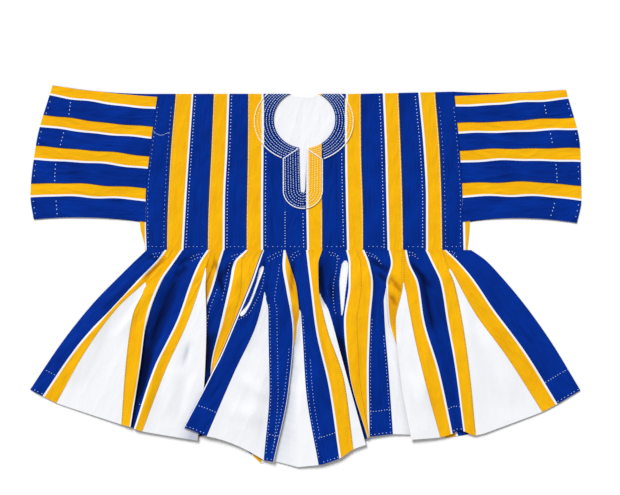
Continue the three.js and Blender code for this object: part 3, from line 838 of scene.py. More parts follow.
def embroidered_material():
    """The strips' blue, gold and white, chosen by place, with the same weave."""
    material, tree, shader, uv = start_material("Embroidered neck cloth")
    where = tree.nodes.new("ShaderNodeTexCoord").outputs["Object"]
    masks = add_group(tree, STRIPES_BY_PLACE)
    tree.links.new(where, masks.inputs["Vector"])
    tones = [(DEEP_ROYAL, NAVY), (GOLD, AMBER), (SNOW, PEARL)]
    woven = [add_group(tree, HANDWOVEN, Yarn=a, Deep_yarn=b, Streak=0.5, Rib=0.1) for a, b in tones]
    for node in woven:
        tree.links.new(where, node.inputs["Vector"])
    colour = blend_colours(tree, masks.outputs["Gold"], woven[0].outputs["Color"], woven[1].outputs["Color"])
    colour = blend_colours(tree, masks.outputs["Line"], colour, woven[2].outputs["Color"])
    tree.links.new(colour, shader.inputs["Base Color"])
    tree.links.new(woven[0].outputs["Roughness"], shader.inputs["Roughness"])
    creased = add_group(tree, CREASES, Scale=24.0, Depth=1.0)
    tree.links.new(where, creased.inputs["Vector"])
    add_bump(tree, shader, woven[0].outputs["Height"], creased.outputs["Height"], 0.0006)
    return material


NECK_CLOTH = embroidered_material()
print("neck cloth:", NECK_CLOTH.name)

# %% Ring halves
PLACKET = {"left": -56.5, "right": 43.5, "bend": 216, "bottom": 170}
MITRE_GAP = 0.6
SLIT_CLOSES = 0.72
RING_AROUND = 48
RING_ACROSS = 9
ring_surfaces = {}


def ring_level(x):
    """Just above the chest."""
    return chest_level(x) + CLOTH / 2 + GAP + TRIM / 2 + LOFT


def grown(oval, more):
    """The same oval, wider and taller by the same amount."""
    return {**oval, "wide": oval["wide"] + more, "tall": oval["tall"] + more}


def ring_half(mitre_inner, mitre_outer, side):
    """Points on ovals that pass from the hole's edge to the ring's, from shoulder to mitre."""
    edges = []
    for oval, x in ((grown(HOLE, GAP), mitre_inner), (RING, mitre_outer)):
        low = -math.acos((x - oval["x"]) * side / oval["wide"])
        high = math.asin((SHOULDER - SEAM - oval["y"]) / oval["tall"])
        angle = np.linspace(high, low, RING_AROUND)
        px = oval["x"] + side * oval["wide"] * np.cos(angle)
        edges.append(np.stack([px, oval["y"] + oval["tall"] * np.sin(angle), 0 * px], -1))
    part = np.linspace(0, 1, RING_ACROSS)[:, None, None]
    grid = mix(edges[0], edges[1], part)
    grid[..., 2] = ring_level(grid[..., 0]) + crease_height(grid[..., 0], grid[..., 1])
    return grid if side > 0 else grid[::-1]


def neck_piece(name, grid, thickness=TRIM):
    """A piece of the embroidered neck."""
    ring_surfaces[name] = grid
    cloth(name, grid, PLAIN, thickness, palette=[NECK_CLOTH])


neck_piece("neck_ring_left", ring_half(SLIT["left"] - GAP, PLACKET["left"], -1))
neck_piece("neck_ring_right", ring_half(SLIT["right"] + GAP, PLACKET["right"], 1))
print("ring pieces:", len(ring_surfaces))

# %% Back of the ring and placket
def back_ring():
    """The crescent between the two ovals behind the neck, from end to end."""
    edges = []
    for oval in (BACK_HOLE, BACK_RING):
        spread = math.acos((oval["y"] - SHOULDER + SEAM) / oval["tall"])
        angle = np.linspace(-spread, spread, 2 * RING_AROUND)
        px = oval["x"] + oval["wide"] * np.sin(angle)
        edges.append(np.stack([px, oval["y"] - oval["tall"] * np.cos(angle), 0 * px + BACK_LEVEL], -1))
    down = np.linspace(0, 1, RING_ACROSS)[:, None, None]
    return mix(edges[0], edges[1], down).transpose(1, 0, 2)


def placket_grid():
    """Points between the slit's edge and the placket's, down one side, round and up the other."""
    middle = (PLACKET["left"] + PLACKET["right"]) / 2
    half = (PLACKET["right"] - PLACKET["left"]) / 2
    tip = (SLIT["left"] + SLIT["right"]) / 2
    narrow = (SLIT["right"] - SLIT["left"]) / 2 + GAP
    low = narrow * SLIT_CLOSES
    turn = np.linspace(0, np.pi, 40)
    bend_out = mix(PLACKET["bend"], PLACKET["bottom"], np.sin(turn))
    bend_in = mix(SLIT["shoulder"], SLIT["tip"] - GAP, np.sin(turn))
    outer = np.stack([middle - half * np.cos(turn), bend_out], -1)
    inner = np.stack([tip - low * np.cos(turn), bend_in], -1)
    sides = []
    for sign in (-1, 1):
        x_out, x_in = middle + sign * half, tip + sign * narrow
        high_out = float(oval_below(RING, x_out)) - MITRE_GAP
        high_in = float(oval_below(HOLE, x_in, GAP)) - MITRE_GAP
        down = np.linspace(0, 1, 13)[:-1]
        closing = mix(x_in, tip + sign * low, down**2)
        straight_out = np.stack([0 * down + x_out, mix(high_out, PLACKET["bend"], down)], -1)
        straight_in = np.stack([closing, mix(high_in, SLIT["shoulder"], down)], -1)
        sides.append((straight_out, straight_in))
    outer = np.concatenate([sides[0][0], outer, sides[1][0][::-1]])
    inner = np.concatenate([sides[0][1], inner, sides[1][1][::-1]])
    part = np.linspace(0, 1, RING_ACROSS)[:, None, None]
    flat = mix(outer[None], inner[None], part)
    z = ring_level(flat[..., 0]) + crease_height(flat[..., 0], flat[..., 1])
    return np.concatenate([flat, z[..., None]], -1)


neck_piece("neck_ring_back", back_ring(), CLOTH)
neck_piece("placket", placket_grid())
print("neck pieces:", len(ring_surfaces))

# %% [markdown]
# ## The skirt: folds that rise and tuck under
# Where the skirt hangs it would swing in flutes. Laid flat, each flute falls to one side as a
# soft fold: a strip crests, turns under itself and comes back up as the next gore. The table
# below is the cloth in the order that it runs, a row for each seam, crest and turn.

# %% Skirt table
DOWN = [0, 0.07, 0.18, 0.38, 0.66, 1]
UNDER = -2.8
OVER = 2.6
# name, x at the waist, tuck, hip, thigh, knee and hem, y of the hem, level at hip, knee and hem,
# colour to the right, side of the row that its white line lies on, where a fold begins, its turn
FRONT_SKIRT = [
    ["left side", -397, -423, -462, -530, -608, -688, -281, 2.1, 2.1, 2.1, BLUE, "", 0, 0],
    ["a crest", -373, -396, -434, -501, -588, -671, -290, 7, 8, 5, BLUE, "", 0, 0],
    ["a stripe", -349, -368, -407, -476, -568, -654, -298, 7, 7, 4.5, GOLDEN, "both", 0, 0],
    ["a gore", -331, -351, -389, -470, -548, -622, -315, 6, 6, 4, WHITE, "", 0, 0],
    ["gore b", -328, -348, -385, -431, -448, -459, -368, 7, 9, 7, GOLDEN, "", 0, 0],
    ["b edge", -310, -331, -363, -395, -412, -436, -373, 9, 13, 12, BLUE, "both", 0.36, UNDER],
    ["b tuck", -305, -326, -357, -388, -428, -453, -362, 7, 7.5, 7, BLUE, "", 0.37, UNDER],
    ["b floor", -289, -297, -326, -358, -397, -431, -377, 4, 3.6, 3.4, BLUE, "", 0, 0],
    ["b stripe", -243, -263, -284, -315, -375, -426, -378, 9, 12, 12, GOLDEN, "both", 0, 0],
    ["b gore", -234, -246, -260, -291, -348, -407, -385, 9, 11, 8, WHITE, "", 0, 0],
    ["gore c edge", -231, -240, -249, -247, -251, -269, -408, 10, 11, 8, GOLDEN, "", 0, -2.4],
    ["c tuck", -226, -230, -248, -269, -276, -290, -396, 6.6, 6.4, 4.8, GOLDEN, "", 0, -1.9],
    ["c stripe", -206, -216, -230, -258, -266, -282, -400, 4.2, 3.4, 2.6, BLUE, "both", 0, 0],
    ["c turn", -147, -177, -187, -208, -236, -225, -392, 8, 5, 4.4, GOLDEN, "both", 0.6, OVER],
    ["c seam", -143, -160, -160, -181, -231, -260, -388, 10, 12, 10.8, GOLDEN, "", 0, 0],
    ["d edge", -108, -120, -137, -173, -226, -303, -374, 9, 14.6, 11.4, BLUE, "right", 0.58, OVER],
    ["d crest", -100, -109, -124, -160, -213, -284, -380, 9.4, 16, 15.4, BLUE, "", 0, 0],
    ["d gore", -84, -88, -97, -119, -178, -246, -396, 8, 13, 13, WHITE, "", 0, 0],
    ["gore e", -81, -85, -94, -93, -90, -104, -457, 8, 9, 8, BLUE, "", 0, 0],
    ["e edge", -52, -55, -46, -30, -42, -79, -460, 9, 13, 12, GOLDEN, "both", 0.2, UNDER],
    ["e tuck", -50, -37, -20, -22, -66, -98, -455, 6, 7, 7, WHITE, "", 0.37, -2.2],
    ["gore f floor", -47, -36, -19, -13, -36, -70, -462, 5, 3.8, 3.6, WHITE, "", 0, 0],
    ["gore f", -46, -35, -18, -8, 2, 33, -470, 8, 10, 9, BLUE, "", 0, 0],
    ["f stripe", 4, 8, 15, 28, 61, 87, -452, 9, 11, 10, GOLDEN, "both", 0, 0],
    ["f gore", 42, 32, 33, 52, 97, 119, -428, 10, 12, 9, WHITE, "", 0, 0],
    ["g edge", 46, 40, 43, 68, 105, 151, -418, 6, 12, 9.4, BLUE, "", 0.36, UNDER],
    ["g tuck", 50, 46, 50, 74, 88, 134, -402, 4.8, 6.8, 5.4, BLUE, "", 0.37, -2],
    ["g floor", 60, 62, 62, 84, 102, 147, -408, 4.2, 3.6, 2.6, BLUE, "", 0, 0],
    ["g stripe", 104, 110, 110, 98, 110, 155, -400, 9, 13, 10, GOLDEN, "both", 0, 0],
    ["g seam", 127, 137, 139, 128, 134, 159, -400, 10, 13, 9.6, GOLDEN, "", 0, 0],
    ["h stripe", 144, 157, 166, 159, 155, 157, -398, 10, 12, 9, BLUE, "both", 0, 0],
    ["h shade", 150, 163, 173, 172, 178, 181, -396, 4.8, 8, 7, BLUE, "", 0, 0],
    ["h gore", 203, 204, 194, 197, 207, 218, -391, 8, 8, 7, WHITE, "", 0, 0],
    ["i turn", 207, 213, 201, 206, 262, 292, -395, 7, 4.5, 3.8, GOLDEN, "both", 0.38, OVER],
    ["gore i edge", 243, 244, 243, 225, 236, 264, -405, 9, 9, 8.2, WHITE, "", 0.4, OVER],
    ["gore j", 247, 249, 250, 264, 293, 336, -400, 9, 10, 8, GOLDEN, "", 0, 0],
    ["j stripe", 250, 257, 279, 293, 331, 365, -390, 10, 12, 9, BLUE, "both", 0, 0],
    ["j floor", 268, 280, 301, 321, 352, 381, -380, 4.8, 6, 5, BLUE, "", 0, 0],
    ["j gold", 302, 317, 339, 354, 376, 396, -383, 9, 11, 8, GOLDEN, "both", 0, 0],
    ["j gore", 341, 350, 372, 391, 409, 425, -398, 8, 8, 6, WHITE, "", 0, 0],
    ["gore k", 345, 354, 376, 421, 503, 591, -337, 8, 7, 4, GOLDEN, "", 0, 0],
    ["k stripe", 349, 377, 413, 465, 545, 627, -318, 8, 8, 4, BLUE, "both", 0, 0],
    ["k crest", 380, 412, 449, 505, 580, 657, -300, 7, 7, 4, BLUE, "", 0, 0],
    ["right side", 414, 449, 486, 545, 615, 687, -283, 2.1, 2.1, 2.1, BLUE, "", 0, 0],
]
FRONT_ROWS = {row[0]: row for row in FRONT_SKIRT}
# The row where each piece begins. It ends where the next begins, and the last at the right side.
FRONT_SKIRT_PIECES = [
    ("strip_a", "left side"), ("gore_a", "a gore"), ("strip_b", "gore b"), ("gore_b", "b gore"),
    ("strip_c", "gore c edge"), ("strip_d", "c seam"), ("gore_c", "d gore"), ("strip_e", "gore e"),
    ("gore_d", "e tuck"), ("strip_f", "gore f"), ("gore_e", "f gore"), ("strip_g", "g edge"),
    ("strip_h", "g seam"), ("gore_f", "h gore"), ("strip_i", "i turn"), ("gore_g", "gore i edge"),
    ("strip_j", "gore j"), ("gore_h", "j gore"), ("strip_k", "gore k"), ("", "right side"),
]
print("rows across the front skirt:", len(FRONT_ROWS))

# %% [markdown]
# ## Rows into folds
# The rows are joined straight and then every corner is rounded, as cloth rounds a fold. The
# rounding is a quadratic curve that starts a little before the corner and ends a little after,
# so a crest stays soft, a tight turn stays tight and no layer swings into its neighbour.

# %% Skirt rows
SKIRT_STATIONS = 64
share = np.linspace(0, 1, SKIRT_STATIONS)
FOLD_BEGINS_OVER = 0.12
BESIDE = 2.2
ROUND = 15.0
WHITE_LINE = 5.0
STEP_ACROSS = 9.0
# Above its apex a gore is squeezed shut: row, the row it lies against, the gap left, how far down
# the skirt it stays shut, and how fast it opens.
SQUEEZED = [
    ("gore b", "a gore", 0.9, 0.19, 0.08),
    ("gore c edge", "b gore", 0.9, 0.09, 0.05),
    ("gore e", "d gore", 0.9, 0.22, 0.06),
    ("e tuck", "gore f", -4.2, 0.29, 0.08),
    ("gore f floor", "gore f", -0.9, 0.33, 0.06),
    ("g edge", "f gore", 0.9, 0.21, 0.10),
    ("h gore", "i turn", -0.9, 0.20, 0.08),
    ("gore j", "gore i edge", 3.2, 0.17, 0.06),
    ("gore k", "j gore", 0.9, 0.10, 0.05),
]
# Where a fold hides part of a white line: how far down the skirt, and the share of it that shows.
LINE_SHOWS = {
    "a stripe": ([0, 0.22, 0.3, 0.42, 0.5, 1], [1, 1, 0.35, 0.35, 1, 1]),
    "c turn": ([0, 0.4, 0.5, 1], [0.9, 0.8, 0.2, 0.2]),
    "d edge": ([0, 0.1, 0.4, 0.8, 1], [1, 1, 0.6, 0.5, 0.4]),
    "e edge": ([0, 0.33, 0.42, 1], [1, 0.9, 0.5, 0.5]),
    "g stripe": ([0, 0.5, 0.62, 1], [1, 1, 0.15, 0.15]),
    "j gold": ([0, 0.3, 1], [1, 1, 0.8]),
}
# The hem of some gores sags or lifts between its rows.
SAGS = [("d gore", "gore e", 9.0), ("gore f floor", "gore f", -8.0), ("gore j", "j gore", -2.0)]


def skirt_row(row):
    """A row's points from waist to hem, through its measured places."""
    xs, hem, levels = row[1:7], row[7], row[8:11]
    z = through([0, DOWN[2], DOWN[4], 1], [float(chest_level(xs[0])), *levels], share)
    return np.stack([through(DOWN, xs, share), mix(WAIST - WAIST_GAP, hem, share), z], -1)


def turned_row(points, begins, turn):
    """The second row of a fold: beside the first at the waist, above or below it further down."""
    folded = smooth((share - begins) / FOLD_BEGINS_OVER)
    return points + np.stack([BESIDE * (1 - folded), 0 * folded, turn * folded], -1)


def squeezed_rows():
    """Each row by name, with the gores shut above their apexes."""
    found = {name: skirt_row(row) for name, row in FRONT_ROWS.items()}
    for name, against, gap, until, over in SQUEEZED:
        shut = 1 - smooth((share - until) / over)
        found[name][:, 0] = mix(found[name][:, 0], found[against][:, 0] + gap, shut)
    return found


rows, row_colours, row_lines, row_place = [], [], [], {}
for name, points in squeezed_rows().items():
    colour, line, begins, turn = FRONT_ROWS[name][11:]
    width = WHITE_LINE * np.interp(share, *LINE_SHOWS.get(name, ([0, 1], [1, 1])))
    half = width / 2
    left, right = {"": (0, 0), "left": (width, 0), "right": (0, width), "both": (half, half)}[line]
    row_place[name] = len(rows)
    rows.append(points)
    if turn:
        rows.append(turned_row(points, begins, turn))
        row_colours.append(LINE if line == "both" else colour)
        row_lines.append((left, 0))
        left = 0
    row_colours.append(colour)
    row_lines.append((left, right))
rows = np.array(rows)
print("rows with folds:", len(rows))

# %% Rounded section
def rounded_run(rows, i, parts):
    """Points between rows i and i+1 at the given parts, with both corners rounded.

    Within a handle of a corner the point is on the quadratic curve A, corner, C, whose ends lie
    one handle before and after the corner; elsewhere it is on the straight line."""
    start, end = rows[i], rows[i + 1]
    before = start - rows[i - 1] if i > 0 else end - start
    after = rows[i + 2] - end if i + 2 < len(rows) else end - start
    run, size = end - start, np.linalg.norm(end - start, axis=-1)
    ahead = unit(run)
    reach = np.minimum(size, 2 * ROUND) / 2
    first = np.minimum(reach, np.linalg.norm(before, axis=-1) / 2) * (i > 0)
    last = np.minimum(reach, np.linalg.norm(after, axis=-1) / 2) * (i + 2 < len(rows))
    d = parts * size
    e = size - d

    def corner(t, a, b, c):
        """(1 − t)²·a + 2t(1 − t)·b + t²·c"""
        t = t[..., None]
        return (1 - t) ** 2 * a + 2 * t * (1 - t) * b + t**2 * c

    def handle(p, way, h):
        """The point at a distance h from p."""
        return p + way * h[:, None]

    straight = start + ahead * d[..., None]
    t0 = 0.5 + 0.5 * d / np.maximum(first, 1e-6)
    t1 = 0.5 - 0.5 * e / np.maximum(last, 1e-6)
    leaving = handle(start, -unit(before), first), start, handle(start, ahead, first)
    reaching = handle(end, -ahead, last), end, handle(end, unit(after), last)
    at_start = corner(np.clip(t0, 0, 1), *leaving)
    at_end = corner(np.clip(t1, 0, 1), *reaching)
    points = np.where((d < first)[..., None], at_start, straight)
    return np.where((e < last)[..., None], at_end, points)


def run_parts(rows, i, line_start, line_end):
    """Parts of the way from row i to i+1: the white lines' edges, and even steps between."""
    size = np.maximum(np.linalg.norm(rows[i + 1] - rows[i], axis=-1), 1e-6)
    first = np.minimum(line_start / size, 0.42)
    last = 1 - np.minimum(line_end / size, 0.42)
    count = max(2, int(np.ceil(np.median(size) / STEP_ACROSS)))
    inner = [mix(first, last, k / count) for k in range(count + 1)]
    head = [0 * size] if np.any(line_start) else []
    tail = [0 * size + 1] if np.any(line_end) else []
    marks = [LINE] * len(head) + [None] * count + [LINE] * len(tail)
    return np.array(head + inner + tail), marks


def skirt_sheet(rows, row_colours, row_lines):
    """The whole skirt as one grid, its face colours, and each row's place in the grid."""
    grid, colours, places = [], [], []
    for i in range(len(rows) - 1):
        parts, marks = run_parts(rows, i, row_lines[i][1], row_lines[i + 1][0])
        places.append(len(colours))
        grid.extend(rounded_run(rows, i, parts)[:-1])
        colours.extend(row_colours[i] if mark is None else mark for mark in marks)
    grid.append(rows[-1])
    places.append(len(colours))
    return np.array(grid), np.array(colours), places


front_grid, front_colours, front_places = skirt_sheet(rows, row_colours, row_lines)


def columns_between(start, end):
    """The grid's columns where two named rows lie."""
    return front_places[row_place[start]], front_places[row_place[end]]


for start, end, lift in SAGS:
    first, last = columns_between(start, end)
    part = np.linspace(0, 1, last - first + 1)[:, None]
    front_grid[first:last + 1, :, 1] += lift * 4 * part * (1 - part) * share**2
print("front skirt grid:", front_grid.shape)

# %% [markdown]
# ## Gathers and creases in the skirt
# The skirt is eased into the waist seam, so just under it the cloth ripples, and the ripples die
# away within a hand's breadth. Long soft ridges and troughs run down the panels from there, and a
# few short ones pucker the cloth sideways.

# %% Skirt creases
CREASES_SKIRT = np.array([
    [-420, -10, -560, -170, 14, 1.6],
    [-380, -20, -470, -150, 10, 1.2],
    [-505, -120, -590, -260, 16, 1.8],
    [-296, 28, -322, 0, 7, -1.4],
    [-322, 0, -385, -180, 12, -1.6],
    [-385, -180, -413, -305, 12, -1.2],
    [-350, -140, -402, -330, 9, 1.4],
    [-286, -165, -320, -235, 5, -1.2],
    [-411, 52, -352, 42, 6, -1.5],
    [-506, -97, -414, 0, 5, -1.5],
    [-404, -5, -349, 50, 5, -1.8],
    [-321, 32, -274, 55, 6, -1.6],
    [-224, 38, -205, -40, 5, -2.0],
    [-213, 30, -229, -50, 5, -1.5],
    [-178, 38, -216, -6, 6, -2.2],
    [38, 25, 47, -75, 5, -2.4],
    [164, 42, 209, 15, 7, -2.0],
    [180, 10, 208, -15, 6, -1.6],
    [212, 0, 240, -38, 6, -1.6],
    [214, -45, 226, -70, 5, -1.2],
    [262, 36, 312, -25, 6, -1.8],
    [330, -60, 372, -185, 7, -1.6],
    [-100, 45, -118, -20, 5, -1.3],
    [-30, 40, -36, -40, 5, -1.4],
    [70, 45, 66, -60, 7, -1.5],
    [-330, -220, -345, -340, 16, 1.5],
    [-280, -250, -300, -370, 14, 1.4],
    [-222, 20, -235, -110, 9, 1.4],
    [-170, 10, -182, -80, 9, 1.5],
    [-135, 30, -145, -60, 8, 1.2],
    [-112, -60, -150, -180, 9, 1.2],
    [-160, -250, -95, -300, 16, 1.3],
    [-190, -330, -110, -350, 20, 1.4],
    [-110, -210, -140, -400, 18, 1.5],
    [-70, 20, -68, -180, 12, 1.2],
    [-60, -200, -92, -420, 12, 1.5],
    [-22, -60, -20, -230, 9, 1.3],
    [-30, -260, 5, -430, 14, 1.6],
    [6, -20, 34, -300, 12, 1.5],
    [55, -120, 95, -350, 12, 1.2],
    [82, 10, 85, -100, 9, 1.2],
    [118, -60, 118, -300, 12, 1.5],
    [150, 20, 168, -60, 8, 1.2],
    [180, 0, 186, -330, 12, 1.5],
    [215, -80, 232, -300, 12, 1.5],
    [290, 5, 318, -133, 8, -1.6],
    [330, -40, 378, -220, 12, 1.4],
    [300, -180, 285, -330, 16, 1.5],
    [262, -240, 315, -390, 14, 1.4],
    [390, -80, 420, -330, 20, 1.6],
    [440, -130, 520, -300, 20, 1.7],
    [400, 10, 520, -160, 14, 1.5],
    [480, -90, 600, -250, 14, 1.5],
], float)
GATHER_PITCH = 17.0
GATHER_DEPTH = 1.5
GATHER_FADE = 26.0
CREASE_GAIN = 2.2
LOWEST_FRONT = 2.1


def gathers(x, y):
    """Ripples across: depth · |sin(phase)| · exp(−drop/fade) under the waist, with a wandering phase."""
    phase = x / GATHER_PITCH * math.pi + 1.3 * np.sin(x / 41.0) + (WAIST - y) * np.sin(x / 63.0) / 30.0
    drop = np.maximum(WAIST - y, 0)
    return GATHER_DEPTH * np.abs(np.sin(phase)) * np.exp(-drop / GATHER_FADE)


def skirt_relief(grid):
    """Creases and gathers together, faded at the two sides, where the cloth lies on the back."""
    x, y = grid[..., 0], grid[..., 1]
    side = smooth(np.minimum(np.arange(len(grid)), np.arange(len(grid))[::-1]) / 5.0)[:, None]
    return (CREASE_GAIN * crease_height(x, y, CREASES_SKIRT) + gathers(x, y)) * side


front_grid[..., 2] = np.maximum(front_grid[..., 2] + skirt_relief(front_grid), LOWEST_FRONT)
front_normals = normals_of(front_grid)
print("highest fold:", round(float(front_grid[..., 2].max()), 1), "mm")

# %% [markdown]
# ## Shade deep in the folds
# Shade deep in the folds is painted into the yarn's colour. Each point is compared with the mean
# height of the cloth around it, and the lower it lies, the more of the painted shade colour it takes.

# %% Hollows
HOLLOW_STEP = 4.0
HOLLOW_REACH = 17.0
HOLLOW_DEPTH = 6.5


def shade_in_hollows(grid):
    """Painted shade: clipped (blurred top height − own height) / depth, station by station across the skirt.
    """
    x, z = grid[..., 0], grid[..., 2]
    places = np.arange(x.min() - 40, x.max() + 40, HOLLOW_STEP)
    way = x[1:] - x[:-1]
    part = (places[:, None, None] - x[:-1]) / np.where(np.abs(way) < 1e-3, 1e-3, way)
    height = np.where((part >= 0) & (part <= 1), mix(z[:-1], z[1:], part), 0)
    near = np.exp(-(((places[:, None] - places) / HOLLOW_REACH) ** 2))
    blurred = near @ height.max(axis=1) / near.sum(axis=1)[:, None]
    around = np.stack([np.interp(x[:, j], places, blurred[:, j]) for j in range(x.shape[1])], 1)
    return np.clip((around - z) / HOLLOW_DEPTH, 0, 0.9)


# rows between which a fold keeps the light out, how far down the skirt, how strongly
DARK_FOLDS = [
    ("g tuck", "g stripe", 0.45, 1.00, 0.85), ("c tuck", "c turn", 0.44, 0.66, 0.75),
    ("c turn", "d edge", 0.30, 0.58, 0.25), ("b tuck", "b floor", 0.20, 0.95, 0.35),
    ("f gore", "g floor", 0.04, 0.22, 0.45), ("e edge", "e tuck", 0.26, 0.44, 0.55),
    ("h stripe", "h shade", 0.02, 0.24, 0.35), ("i turn", "gore i edge", 0.22, 0.42, 0.40),
    ("gore c edge", "c stripe", 0.06, 0.30, 0.30), ("a crest", "a stripe", 0.20, 0.50, 0.25),
    ("j floor", "j gold", 0.10, 0.50, 0.20), ("e tuck", "gore f floor", 0.35, 0.60, 0.30),
]


def fold_shade():
    """Extra shade between two rows: amount · 4·√(s(1 − s)·t(1 − t)), where s runs across and t down."""
    total = np.zeros(front_grid.shape[:2])
    for start, end, low, high, amount in DARK_FOLDS:
        first, last = columns_between(start, end)
        across = np.linspace(0, 1, last - first + 1)[:, None]
        down = np.clip((share - low) / (high - low), 0, 1)
        total[first:last + 1] += amount * np.sqrt(16 * across * (1 - across) * down * (1 - down))
    return total


# Painted shade: crease troughs, hollows and the listed folds all darken the yarn towards its shade colour.
TROUGH_SHADE = 0.2
DEEPEST = 0.95
troughs = TROUGH_SHADE * np.clip(-skirt_relief(front_grid), 0, 2.5)
front_painted_shade = np.minimum(shade_in_hollows(front_grid) + troughs + fold_shade(), DEEPEST)
print("deepest hollow:", round(float(front_painted_shade.max()), 2))

# %% Front skirt pieces
# Above its apex the strips are lapped over a gore: how far down, and the colour that covers it.
LAPPED = {
    "gore_a": (0.21, GOLDEN), "gore_b": (0.11, GOLDEN), "gore_c": (0.235, BLUE), "gore_d": (0.3, BLUE),
    "gore_e": (0.235, BLUE), "gore_f": (0.21, BLUE), "gore_g": (0.18, GOLDEN), "gore_h": (0.12, GOLDEN),
}
front_skirt = {}
for (name, start), (_, end) in zip(FRONT_SKIRT_PIECES, FRONT_SKIRT_PIECES[1:]):
    first, last = columns_between(start, end)
    grid = front_grid[first:last + 1].copy()
    pull_in(grid)
    lapped, cover = LAPPED.get(name, (0, WHITE))
    colours = np.where(share[1:] < lapped, cover, front_colours[first:last, None])
    front_skirt[name] = grid
    cloth("front_skirt_" + name, grid, colours,
          normals=front_normals[first:last + 1], painted_shade=front_painted_shade[first:last + 1])
print("front skirt pieces:", len(front_skirt))

# %% [markdown]
# ## The back of the skirt
# The back lies on the surface, so it is flat: strips with a gold band at each edge and a blue
# field between, and gores that widen to the hem, all fanned out from the waist.

# %% Back skirt
FAN = 0.87
BACK_SKIRT = [
    [-399, -683, -279, "strip_a"],
    [-318, -610, -309, "gore_a"],
    [-315, -469, -356, "strip_b"],
    [-160, -360, -378, "gore_b"],
    [-157, -221, -362, "strip_c"],
    [-1, -111, -466, "gore_c"],
    [2, 81, -408, "strip_d"],
    [157, 190, -386, "gore_d"],
    [160, 350, -402, "strip_e"],
    [315, 439, -388, "gore_e"],
    [318, 599, -326, "strip_f"],
    [399, 682, -281, None],
]
BACK_STATIONS = 40
BACK_GOLD = 27.0
OUTER_SEAM = 390
BACK_INSET = 3.0


def back_seam(waist, hem, hem_y):
    """x fans from waist to hem as down^0.87, but the outermost seams stay just inside the front's."""
    down = np.linspace(0, 1, BACK_STATIONS)
    x = mix(waist, hem, down**FAN)
    if abs(waist) > OUTER_SEAM:
        side = FRONT_ROWS["left side" if waist < 0 else "right side"]
        x = through(DOWN, side[1:7], down) - math.copysign(BACK_INSET, waist)
    return np.stack([x, mix(WAIST - WAIST_GAP, hem_y, down), 0 * down + BACK_LEVEL], -1)


back_skirt = {}
for (waist, hem, hem_y, name), (next_waist, next_hem, next_y, _) in zip(BACK_SKIRT, BACK_SKIRT[1:]):
    edges = np.array([back_seam(waist, hem, hem_y), back_seam(next_waist, next_hem, next_y)])
    if "gore" in name:
        parts = np.linspace(0, 1, 9)[:, None] * np.ones(BACK_STATIONS)
        colours = np.full(8, WHITE)
    else:
        size = np.linalg.norm(edges[1] - edges[0], axis=-1)
        gold, line = BACK_GOLD / size, WHITE_LINE / size
        field = [mix(gold + line, 1 - gold - line, k / 10) for k in range(11)]
        parts = np.array([0 * gold, gold / 2, gold, *field, 1 - gold, 1 - gold / 2, 0 * gold + 1])
        colours = np.array([GOLDEN, GOLDEN, LINE] + [BLUE] * 10 + [LINE, GOLDEN, GOLDEN])
    grid = mix(edges[0], edges[1], parts[..., None])
    pull_in(grid)
    back_skirt[name] = grid
    cloth("back_skirt_" + name, grid, colours[:, None])
print("back skirt pieces:", len(back_skirt))

# %% [markdown]
# ## Finding the surface
# Pocket mouths and stray stitches are placed on whatever cloth lies on top there. Dropping a ray
# straight down on the front pieces gives the point and the normal.

# %% Drop onto the front
def front_tree():
    """A search tree of the upper sides of every front piece."""
    points, faces, count = [], [], 0
    layers = list(front_strips.values()) + list(front_skirt.values())
    layers += [sleeve_grids[side, "front"] for side in ("left", "right")]
    for grid in layers:
        m, n = grid.shape[:2]
        at = np.arange(m * n).reshape(m, n) + count
        quads = np.stack([at[:-1, :-1], at[:-1, 1:], at[1:, 1:], at[1:, :-1]], -1)
        points.append(grid.reshape(-1, 3))
        faces.append(quads.reshape(-1, 4))
        count += m * n
    return BVHTree.FromPolygons(np.concatenate(points).tolist(), np.concatenate(faces).tolist())


FRONT_TREE = front_tree()


def drop(flat_points):
    """The cloth's middle and its normal straight below each x, y."""
    found, normals = [], []
    for x, y in flat_points:
        hit, normal, _, _ = FRONT_TREE.ray_cast(Vector((x, y, 60)), Vector((0, 0, -1)))
        found.append((x, y, SIDE_LEVEL) if hit is None else tuple(hit))
        up = Vector((0, 0, 1)) if normal is None else normal * (1 if normal.z > 0 else -1)
        normals.append(tuple(up))
    return np.array(found), np.array(normals)


print("the cloth at the middle of the waist:", drop([(0, 60)])[0].round(1))

# %% [markdown]
# ## Pocket mouths
# Two slits open the skirt near the waist, each faced with white cotton. The mouths gape a little,
# so the facing shows as a thin white leaf.

# %% Pockets
# x and y down the middle of each mouth and its half width
POCKETS = {
    "pocket_left_lining": [
        [-107, 27, 1.5], [-109, 20, 5.0], [-120.5, -17, 2.8], [-134, -54, 2.4], [-143, -72, 3.2],
        [-156, -90, 6.0], [-160, -97, 2.0],
    ],
    "pocket_right_lining": [
        [100, 41, 2.0], [99, 33, 7.5], [97, 15, 9.0], [94, -10, 9.0], [92.5, -40, 6.5],
        [92, -75, 3.5], [91, -95, 1.0],
    ],
}
POCKET_STEPS = 25
POCKET_ACROSS = 4
POCKET_LIFT = 0.35
pocket_grids = {}


def pocket_grid(table):
    """A leaf along its middle line: the half width to both sides, laid on the skirt."""
    table = np.array(table, float)
    run = np.concatenate([[0], np.cumsum(np.hypot(*np.diff(table[:, :2], axis=0).T))])
    at = run[-1] * smooth(np.linspace(0, 1, POCKET_STEPS)) ** 0.9
    x, y, half = (through(run, table[:, k], at) for k in range(3))
    sides = np.linspace(-1, 1, POCKET_ACROSS + 1)[:, None]
    flat = np.stack([x + sides * half, y + 0 * sides], -1)
    found, normals = drop(flat.reshape(-1, 2))
    lifted = found + normals * (CLOTH / 2 + POCKET_LIFT + TRIM / 2)
    return lifted.reshape(*flat.shape[:2], 3)


